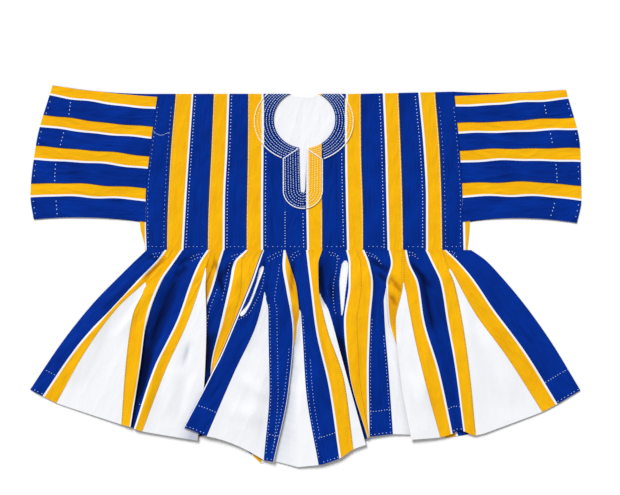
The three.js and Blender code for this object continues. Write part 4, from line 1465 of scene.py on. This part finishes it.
for name, table in POCKETS.items():
    grid = pocket_grid(table)
    pocket_grids[name] = grid
    cloth(name, grid, PLAIN, TRIM, palette=[LINING_CLOTH])
print("pockets:", len(pocket_grids))

# %% [markdown]
# ## Hand stitches
# The stitching is by hand with thick thread, so it shows: white running stitches beside each
# white line, a navy and a cream row on each gold seam, slanted stitches on some of the skirt's
# seams and rings of stitches round the neck. A stitch is a short, arched, four-sided thread, so
# thousands cost little. They are gathered by place and thread and become a few meshes.

# %% Stitch lines
UNEVEN = 0.12  # of the pitch
LEAN = 0.08  # of the length
PROUD = 0.1  # how far a thread's middle lies above the cloth
threads = {}


def along_path(path, values, at):
    """Values interpolated by the distance run along a path."""
    run = np.concatenate([[0], np.cumsum(np.linalg.norm(np.diff(path, axis=0), axis=1))])
    return np.stack([np.interp(at, run, values[:, k]) for k in range(values.shape[1])], -1), run[-1]


def lay_stitches(batch, path, normals, pitch, length, radius=0.55, aside=0.0, slant=0.0, lift=0.0):
    """Stitches along a path, or across it where aside is a width; slant leans them along it."""
    _, total = along_path(path, path, [0])
    starts = np.arange(pitch * 0.5, total - length * 0.5, pitch)
    starts = starts + rng.uniform(-UNEVEN, UNEVEN, len(starts)) * pitch
    if not len(starts):
        return
    middle, _ = along_path(path, path, starts)
    ahead, _ = along_path(path, path, starts + 0.5)
    way = unit(ahead - middle)
    up = unit(along_path(path, normals, starts)[0])
    across = unit(np.cross(up, way))
    lean = rng.uniform(-LEAN, LEAN, (len(starts), 1))
    along = way * length / 2 * (0 if aside else 1) + way * slant / 2
    reach = along + across * (aside / 2 + lean * length)
    base = middle + up * (CLOTH / 2 + PROUD + lift)
    threads.setdefault(batch, []).append((base - reach, base + reach, up, np.full(len(starts), radius)))


print("threads so far:", len(threads))

# %% Stitch mesh
# Rings along a stitch: part of the way, thickness and height of the arch, both in radii.
RINGS = [(0.0, 0.0, -0.6), (0.16, 0.9, 0.0), (0.5, 1.0, 0.35), (0.84, 0.9, 0.0), (1.0, 0.0, -0.6)]
THREAD_WIDE = 1.15
THREAD_TALL = 0.8


def sew(batch, material):
    """All stitches of a batch as one mesh: points at both ends and three rings between, arched."""
    start, end, up, radius = (np.concatenate(part) for part in zip(*threads[batch]))
    way = unit(end - start)
    side = unit(np.cross(up, way))
    turns = (np.arange(4) * math.pi / 2 + math.pi / 4)[:, None]
    round_about = side[:, None] * np.cos(turns) * THREAD_WIDE + up[:, None] * np.sin(turns) * THREAD_TALL
    points = []
    for part, swell, arch in RINGS:
        middle = mix(start, end, part) + up * (arch * radius)[:, None]
        if swell == 0:
            points.append(middle[:, None])
            continue
        points.append(middle[:, None] + round_about * (swell * radius)[:, None, None])
    points = np.concatenate(points, axis=1)
    faces = []
    for k in range(4):
        n = (k + 1) % 4
        faces += [[0, 1 + n, 1 + k, 1 + k], [13, 9 + k, 9 + n, 9 + n]]
        faces += [[1 + k, 1 + n, 5 + n, 5 + k], [5 + k, 5 + n, 9 + n, 9 + k]]
    faces = np.array(faces)
    every = (faces[None] + np.arange(len(start))[:, None, None] * points.shape[1]).reshape(-1, 4)
    lists = [list(dict.fromkeys(face)) for face in every.tolist()]
    mesh = bpy.data.meshes.new(batch)
    mesh.from_pydata((points.reshape(-1, 3) * MM).tolist(), [], lists)
    mesh.materials.append(material)
    mesh.polygons.foreach_set("use_smooth", np.ones(len(lists), bool))
    obj = bpy.data.objects.new(batch, mesh)
    bpy.context.scene.collection.objects.link(obj)
    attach(obj, "root")
    return len(start)


print("faces on a stitch: 16")

# %% Thread materials
def thread_material(name, light, deep):
    """Cotton thread: fine mottled shading and a soft sheen."""
    material = bpy.data.materials.new(name)
    material.use_nodes = True
    tree = material.node_tree
    shader = tree.nodes["Principled BSDF"]
    shader.inputs["Sheen Weight"].default_value = 0.2
    where = tree.nodes.new("ShaderNodeTexCoord").outputs["Object"]
    strands = noise(tree, stretched(tree, where, (900, 900, 900)), 1.0, detail=2.0)
    above = math_node(tree, "SUBTRACT", strands, 0.35, clamp=True)
    amount = math_node(tree, "MULTIPLY", above, 2.0, clamp=True)
    tree.links.new(blend_colours(tree, amount, light, deep), shader.inputs["Base Color"])
    tree.links.new(math_node(tree, "MULTIPLY_ADD", strands, 0.3, 0.5), shader.inputs["Roughness"])
    bump = tree.nodes.new("ShaderNodeBump")
    bump.inputs["Distance"].default_value = 0.0001
    tree.links.new(strands, bump.inputs["Height"])
    tree.links.new(bump.outputs["Normal"], shader.inputs["Normal"])
    return material


THREADS = {
    "white": thread_material("White thread", (0.70, 0.87, 1.0, 1), (0.56, 0.77, 1.0, 1)),
    "snow": thread_material("Snow thread", (0.93, 0.96, 1.0, 1), (0.84, 0.89, 0.98, 1)),
    "cream": thread_material("Cream thread", (0.98, 0.90, 0.62, 1), (0.96, 0.80, 0.42, 1)),
    "navy": thread_material("Navy thread", (0.001, 0.004, 0.035, 1), (0.001, 0.002, 0.015, 1)),
    "amber": thread_material("Amber thread", (0.80, 0.30, 0.01, 1), (0.55, 0.16, 0.01, 1)),
}
print("threads:", list(THREADS))

# %% Stitches on the bodice
SEAM_CLEAR = 3


def bodice_path(edge, offset, level, high=SHOULDER - SEAM_CLEAR):
    """A line beside a seam or stripe edge, on the front or back layer, down to the waist."""
    y = np.linspace(high, WAIST + SEAM_CLEAR, 90)
    x = edge(y) + offset
    return np.stack([x, y, level(x, y)], -1)


def front_surface(x, y):
    """The middle of the front strips, away from the seams."""
    return chest_level(x) + crease_height(x, y) + LOFT


def back_surface(x, y):
    """The underside of the back, which is what faces out."""
    return BACK_LEVEL + 0 * x


UP = np.array([0.0, 0.0, 1.0])
RUN_PITCH = 8.2
RUN_LENGTH = 3.0
DOT = 1.25
NECK_CLEAR = 1.04
PLACKET_CLEAR = 4


def clear_of_neck(path):
    """Keeps the part of a line that lies below the ring and the placket."""
    x, y = path[:, 0], path[:, 1]
    off_ring = np.hypot((x - RING["x"]) / RING["wide"], (y - RING["y"]) / RING["tall"]) > NECK_CLEAR
    beside = (x < PLACKET["left"] - PLACKET_CLEAR) | (x > PLACKET["right"] + PLACKET_CLEAR)
    below = y < PLACKET["bottom"] - PLACKET_CLEAR
    return path[off_ring & (beside | below)]


def add_line(batch, path, pitch=RUN_PITCH, length=RUN_LENGTH, **more):
    """A line of stitches whose cloth faces up."""
    if len(path) > 2:
        lay_stitches(batch, path, np.tile(UP, (len(path), 1)), pitch, length, **more)


for strip, (first, second) in STRIPES.items():
    is_left = strip < FIRST_MIRRORED
    beside = line_at(second if is_left else first, STRIPE_HEIGHT)
    line = clear_of_neck(bodice_path(beside, 6.0 if is_left else -8.5, front_surface))
    if strip == CENTRE_STRIP:
        line = line[line[:, 1] < PLACKET["bottom"] - 8]
    add_line("stitches_bodice_white", line, radius=DOT)
    seam = FRONT_EDGES[strip - 1] if is_left else FRONT_EDGES[strip]
    # The navy row is real stitching. Near-black and thick, it also stands in for the thin shadow along each
    # gold seam, so it is partly painted shade.
    for thread, offset, radius in (("cream", 2.0, 1.0), ("navy", -1.3, 1.3)):
        edge = clear_of_neck(bodice_path(seam, offset if is_left else -offset, front_surface))
        add_line("stitches_bodice_" + thread, edge, pitch=3.3, length=3.4, radius=radius)
for seam, offset in ((0, 5.0), (1, -8.0), (8, 8.0), (9, -5.0)):
    line = bodice_path(FRONT_EDGES[seam], offset, front_surface, high=SHOULDER - 30)
    add_line("stitches_bodice_white", line, pitch=10.5, length=2.4, radius=0.6)
centre = bodice_path(FRONT_EDGES[4], 0.0, front_surface)
add_line("stitches_bodice_white", clear_of_neck(centre), pitch=6.6, length=2.6, radius=DOT)
print("bodice lines:", sum(len(v) for v in threads.values()))

# %% Stitches round the neck
RING_ROWS = [4.0, 11.0, 18.0, 25.0, 32.0, 39.0]
RING_WIDTH = RING["wide"] - HOLE["wide"]
RIM_INSET = 1.3


def is_gold(x):
    """True on a gold band and on the white line beside it."""
    return np.any([(x > low) & (x < high) for low, high in RING_GOLD + RING_LINES], axis=0)


def runs(path, flags):
    """The path cut where a flag changes: each part of more than three points, with its flag."""
    cuts = np.flatnonzero(np.diff(flags.astype(int))) + 1
    parts = zip(np.split(path, cuts), flags[np.concatenate([[0], cuts]).astype(int)])
    return [(part, flag) for part, flag in parts if len(part) > 3]


def split_by_stripe(batch, path, on_blue="white", **more):
    """Stitches in white or snow thread where the cloth is blue and in cream thread elsewhere."""
    for piece, on_gold in runs(path, is_gold(path[:, 0])):
        thread = "cream" if on_gold else on_blue
        add_line(f"{batch}_{thread}", piece, lift=(TRIM - CLOTH) / 2, **more)


def finer(path, count):
    """The same path with more points, evenly spread between its own."""
    at, own = np.linspace(0, 1, count), np.linspace(0, 1, len(path))
    return np.stack([np.interp(at, own, path[:, k]) for k in range(3)], -1)


def ring_rows():
    """Rows at even steps between the hole's circle and the ring's, on both halves."""
    for name in ("neck_ring_left", "neck_ring_right"):
        grid = ring_surfaces[name]
        inner, outer = (grid[-1], grid[0]) if name.endswith("left") else (grid[0], grid[-1])
        for row in RING_ROWS:
            path = finer(mix(inner, outer, row / RING_WIDTH), 300)
            split_by_stripe("stitches_neck", path, pitch=5.4, length=4.6, radius=0.8)
        rim = finer(mix(inner, outer, 1 - RIM_INSET / RING_WIDTH), 300)
        split_by_stripe("stitches_neck", rim, "snow", pitch=3.4, length=4.4, radius=1.7)


ring_rows()
print("neck batches:", [name for name in threads if "neck" in name])

# %% Placket rows
PLACKET_RIM = 0.03
PLACKET_ROWS = [0.16, 0.32, 0.47, 0.62, 0.78, 0.93]


def placket_rows():
    """U-shaped rows between the placket's edge and the slit, the solid rim and the two mitres."""
    grid = ring_surfaces["placket"]
    outer, inner = grid[0], grid[-1]
    rim = finer(mix(outer, inner, PLACKET_RIM), 400)
    split_by_stripe("stitches_neck", rim, "snow", pitch=3.4, length=4.4, radius=1.6)
    for part in PLACKET_ROWS:
        path = finer(mix(outer, inner, part), 400)
        split_by_stripe("stitches_neck", path, pitch=5.8, length=4.6, radius=0.8)
    for k in (0, -1):
        mitre = mix(outer[k], inner[k], np.linspace(0.02, 0.98, 40)[:, None])
        add_line("stitches_neck_snow", mitre, pitch=3.2, length=4.4, radius=1.5)
    left = mix(outer, inner, 0.08)[:14]
    add_line("stitches_neck_white", left, pitch=4.6, length=2.0, aside=5.0, radius=0.5)


placket_rows()
print("stitch batches:", sorted(threads))

# %% Stitches on the skirt
def skirt_line(row, offset, low, high):
    """A line a fixed distance beside a row of the front skirt, with its normals."""
    place = front_places[row_place[row]]
    run = lengths(front_grid, 0)
    index = np.array([
        np.interp(run[place, j] + offset, run[:, j], np.arange(len(run))) for j in range(SKIRT_STATIONS)
    ])
    k = np.clip(index.astype(int), 0, len(run) - 2)
    part = (index - k)[:, None]
    j = np.arange(SKIRT_STATIONS)
    points = mix(front_grid[k, j], front_grid[k + 1, j], part)
    normals = mix(front_normals[k, j], front_normals[k + 1, j], part)
    keep = (share >= low) & (share <= high)
    return points[keep], normals[keep]


def skirt_stitches(batch, row, offset, low, high=0.99, **more):
    """Stitches beside a row, from where to where down the skirt."""
    points, normals = skirt_line(row, offset, low, high)
    lay_stitches(batch, points, normals, **more)


# row, distance beside it, and from where to where down the skirt
WHITE_BESIDE = [
    ("c stripe", 14, 0.2, 0.55), ("c turn", -12, 0.05, 0.3), ("gore e", 4, 0.24, 0.98),
    ("gore e", 22, 0.05, 0.95), ("e edge", -9, 0.45, 0.98), ("gore f", 4, 0.3, 0.98),
    ("gore f", 16, 0.5, 0.9), ("h stripe", 7, 0.35, 0.97), ("h gore", -5, 0.45, 0.97),
]
for row, offset, low, high in WHITE_BESIDE:
    skirt_stitches("stitches_skirt_white", row, offset, low, high, pitch=8.4, length=2.6, radius=0.7)
# thread, row, distance beside it, and where it begins
SLANTED = [
    ("navy", "gore b", 2.0, 0.25), ("navy", "j gore", -2.0, 0.12), ("navy", "f gore", -2.0, 0.3),
    ("amber", "c seam", 0.8, 0.03), ("amber", "g seam", 0.8, 0.05), ("amber", "gore j", 1.6, 0.03),
    ("navy", "gore i edge", -4.0, 0.03), ("amber", "gore k", 2.0, 0.12),
]
for thread, row, offset, low in SLANTED:
    skirt_stitches("stitches_skirt_" + thread, row, offset, low, pitch=5.6, length=2.4,
                   aside=2.6, slant=2.0, radius=0.5)
print("skirt batches:", [name for name in threads if "skirt" in name])

# %% Hem rows
# from row to row, and how far above the hem
HEM_ROWS = [
    ("left side", "a stripe", 62), ("b floor", "b stripe", 62), ("c stripe", "c turn", 60),
    ("d edge", "d gore", 64), ("gore e", "e edge", 66), ("gore f", "f stripe", 66),
    ("h stripe", "h gore", 62), ("j stripe", "j gold", 62), ("k stripe", "right side", 62),
]


def hem_line(start, end, above):
    """A line across the cloth between two rows, a fixed distance above the hem."""
    first, last = columns_between(start, end)
    k = np.arange(first + 1, last + 1)
    run = lengths(front_grid, 1)
    index = np.array([np.interp(run[i, -1] - above, run[i], np.arange(SKIRT_STATIONS)) for i in k])
    j = np.clip(index.astype(int), 0, SKIRT_STATIONS - 2)
    part = (index - j)[:, None]
    points = mix(front_grid[k, j], front_grid[k, j + 1], part)
    return points, mix(front_normals[k, j], front_normals[k, j + 1], part)


for start, end, above in HEM_ROWS:
    for height, pitch in ((above, 7.0), (5, 9.5)):
        points, normals = hem_line(start, end, height)
        lay_stitches("stitches_skirt_white", points, normals, pitch, length=3.0, radius=0.75)
print("hem rows:", len(HEM_ROWS) * 2)

# %% Stitches on the sleeves
# The cuff's hem is caught down by a sparse row a hand inside it, and another at its edge.
CUFF_ROWS = {
    "left": [
        [-585, 450], [-590, 408], [-603, 363], [-613, 325], [-623, 288], [-626, 240], [-622, 183],
        [-620, 152],
    ],
    "right": [[596, 433], [612, 355], [625, 283], [628, 238], [622, 185], [611, 147]],
}
ARMHOLE = 385
SLEEVE_REACH = 290
BLUE_MARGIN = 3


def blue_parts(side, x, y):
    """True where a place on a sleeve is blue: between a white line and the next gold band."""
    out = (x * (-1 if side == "left" else 1) - ARMHOLE) / SLEEVE_REACH
    inside = []
    for line, after in zip(SLEEVE_LINES[side], SLEEVE_LINES[side][1:]):
        if line[3] == BLUE:
            under = y < mix(line[0], line[1], out) - BLUE_MARGIN
            inside.append(under & (y > mix(after[0], after[1], out) + BLUE_MARGIN))
    return np.any(inside, axis=0)


def sparse_row(side, flat, **more):
    """A row of white stitches on the sleeve's blue parts only."""
    for piece, is_blue in runs(flat, blue_parts(side, flat[:, 0], flat[:, 1])):
        if is_blue:
            lay_stitches("stitches_sleeves_white", *drop(piece), **more)


for side in ("left", "right"):
    row = np.array(CUFF_ROWS[side], float)
    y = np.linspace(row[0, 1], row[-1, 1], 160)
    flat = np.stack([through(row[:, 1], row[:, 0], y), y], -1)
    sparse_row(side, flat, pitch=10.0, length=3.6, radius=0.95)
    y = np.linspace(CUFFS[side][0][0] - 5, CUFFS[side][0][-1] + 5, 160)
    inset = 6.5 if side == "left" else -6.5
    flat = np.stack([through(*CUFFS[side], y) + inset, y], -1)
    sparse_row(side, flat, pitch=15.0, length=3.2, radius=0.75)
    steps = np.cumsum([0] + [BAND_STEPS[line[3]] for line in SLEEVE_LINES[side][:-1]])
    for line, place in zip(SLEEVE_LINES[side][2:], steps[2:]):
        if line[3] == GOLDEN:
            edge = sleeve_grids[side, "front"][:, place] + [0, 0.8, 0]
            add_line("stitches_sleeves_navy", edge, pitch=3.3, length=3.4, radius=0.9)
print("sleeve rows laid")

# %% Pocket and waist stitches
# Outlines beside the pockets, and short arcs under the waist, which are sewn twice.
OUTLINES = {
    "stitches_skirt_white": [
        [[-102, 12], [-106, -14], [-111, -34], [-126, -66], [-139, -88], [-167, -107]],
        [[81, 57], [77, 17], [71, -12], [69, -40], [73, -85], [80, -94]],
        [[-384, 57], [-370, 59], [-352, 63]], [[-289, 46], [-276, 54], [-250, 60]],
        [[-187, 50], [-172, 56], [-150, 60]], [[-97, 46], [-76, 58], [-56, 66]],
        [[-38, 47], [-30, 58], [-15, 66]], [[56, 62], [70, 60], [84, 50]],
        [[150, 62], [170, 56], [186, 40]], [[246, 56], [262, 62], [280, 52]],
        [[348, 62], [362, 64], [378, 56]],
    ],
    "stitches_skirt_navy": [[[-113, 22], [-135, -30], [-165, -96]], [[88, 34], [84, -12], [88, -92]]],
}
for batch, outlines in OUTLINES.items():
    for outline in outlines:
        outline = np.array(outline, float)
        at = np.linspace(0, 1, 40)
        places = np.linspace(0, 1, len(outline))
        flat = np.stack([through(places, outline[:, 0], at), through(places, outline[:, 1], at)], -1)
        for row in range(2 if len(outline) == 3 else 1):
            points, normals = drop(flat + [3.5 * row, -7.5 * row])
            lay_stitches(batch, points, normals, pitch=7.6, length=1.8, radius=1.15)
for grid in pocket_grids.values():
    for edge in (grid[0], grid[-1]):
        normals = np.tile(UP, (len(edge), 1))
        lay_stitches("stitches_skirt_white", edge, normals, pitch=3.4, length=2.0, aside=3.2,
                     radius=0.45, lift=-0.1)
for strip, edges in enumerate(zip(FRONT_EDGES, FRONT_EDGES[1:]), start=1):
    left, right = (float(edge(WAIST + 8)) for edge in edges)
    if strip in STRIPES:
        first, second = STRIPES[strip]
        left, right = (second[-1], right) if strip < FIRST_MIRRORED else (left, first[-1])
    x = np.linspace(left + 8, right - 6, 30)
    flat = np.stack([x, 0 * x + WAIST + 8.5], -1)
    lay_stitches("stitches_bodice_white", *drop(flat), pitch=11.0, length=2.4, radius=0.7)
loose = np.array([[-381, 366], [-371, 357], [-360, 354], [-349, 358], [-336, 363]], float)
at = np.linspace(loose[0, 0], loose[-1, 0], 60)
stray = drop(np.stack([at, through(loose[:, 0], loose[:, 1], at)], -1))
lay_stitches("stitches_bodice_white", *stray, pitch=3.4, length=3.9, radius=0.4)
print("outlines laid")

# %% Stitches on the back
BELOW_BACK_RING = 380


def under_line(path):
    """Stitches on the side that faces down, sunk so that they hardly reach below the cloth."""
    normals = np.tile(-UP, (len(path), 1))
    lay_stitches("stitches_back_white", path, normals, RUN_PITCH, RUN_LENGTH, radius=0.4, lift=-0.45)


for strip, (first, second) in STRIPES.items():
    is_left = strip < FIRST_MIRRORED
    beside = line_at(second if is_left else first, STRIPE_HEIGHT)
    high = BELOW_BACK_RING if strip in (4, 5, 6) else SHOULDER - SEAM_CLEAR
    under_line(bodice_path(beside, 6.5 if is_left else -6.5, back_surface, high=high))
for name, grid in back_skirt.items():
    if "strip" in name:
        for edge, inner in ((3, 4), (-4, -5)):
            under_line(mix(grid[edge], grid[inner], 0.4))
print("back lines laid")

# %% Sew every batch
# The last word of a batch's name is its thread.
for batch in sorted(threads):
    print(batch, sew(batch, THREADS[batch.rsplit("_", 1)[1]]), "stitches")

# %% [markdown]
# ## The floor, the light and the camera
# The smock lies on a plain white floor. A broad, far lamp beyond the left shoulder gives the folds
# their soft shading, and an even white surround keeps the shadows pale.

# %% Floor
FLOOR_SIZE = 60.0
FLOOR_LEVEL = -0.0004


def floor_material():
    """A matt white, very slightly mottled."""
    material = bpy.data.materials.new("Pale floor")
    material.use_nodes = True
    tree = material.node_tree
    shader = tree.nodes["Principled BSDF"]
    where = tree.nodes.new("ShaderNodeTexCoord").outputs["Object"]
    mottled = noise(tree, where, 2.0, detail=1.0)
    tone = blend_colours(tree, mottled, (0.95, 0.95, 0.955, 1), (0.96, 0.96, 0.96, 1))
    tree.links.new(tone, shader.inputs["Base Color"])
    shader.inputs["Roughness"].default_value = 0.95
    shader.inputs["Specular IOR Level"].default_value = 0.1
    return material


half = FLOOR_SIZE / 2
floor_mesh = bpy.data.meshes.new("floor")
corners = [(x * half, y * half, FLOOR_LEVEL) for x, y in ((-1, -1), (1, -1), (1, 1), (-1, 1))]
floor_mesh.from_pydata(corners, [], [(0, 1, 2, 3)])
floor_mesh.materials.append(floor_material())
floor = bpy.data.objects.new("floor", floor_mesh)
bpy.context.scene.collection.objects.link(floor)
print("floor:", FLOOR_SIZE, "m")

# %% Light
SUN_PLACE = (-0.42, 0.92, 0.95)
SUN_SPREAD = 24
SUN_STRENGTH = 3.2
SURROUND = 0.38


def sun_lamp(name, place, strength, spread):
    """A broad, far lamp that shines from its place towards the middle of the smock."""
    data = bpy.data.lights.new(name, "SUN")
    data.angle = math.radians(spread)
    data.energy = strength
    lamp = bpy.data.objects.new(name, data)
    lamp.location = Vector(place) * 3
    lamp.rotation_euler = Vector(place).to_track_quat("Z", "Y").to_euler()
    bpy.context.scene.collection.objects.link(lamp)


sun_lamp("soft key", SUN_PLACE, SUN_STRENGTH, SUN_SPREAD)
world = bpy.data.worlds.new("white surround")
world.use_nodes = True
world.node_tree.nodes["Background"].inputs["Color"].default_value = (1, 1, 1, 1)
world.node_tree.nodes["Background"].inputs["Strength"].default_value = SURROUND
bpy.context.scene.world = world
bpy.context.scene.view_settings.view_transform = "Standard"
print("lamps: 1")

# %% Camera
CAMERA_HEIGHT = 3.0
VIEW_WIDTH = 1.55
SENSOR = 36.0
CAMERA_PLACE = (0.01125, 0.07375)
camera_data = bpy.data.cameras.new("camera")
camera_data.sensor_width = SENSOR
camera_data.lens = SENSOR * CAMERA_HEIGHT / VIEW_WIDTH
camera = bpy.data.objects.new("camera", camera_data)
camera.location = (*CAMERA_PLACE, CAMERA_HEIGHT)
bpy.context.scene.collection.objects.link(camera)
bpy.context.scene.camera = camera
print("lens:", round(camera_data.lens, 1), "mm")

# %% Sizes and finish
print("sheets declared:", len(sheets))
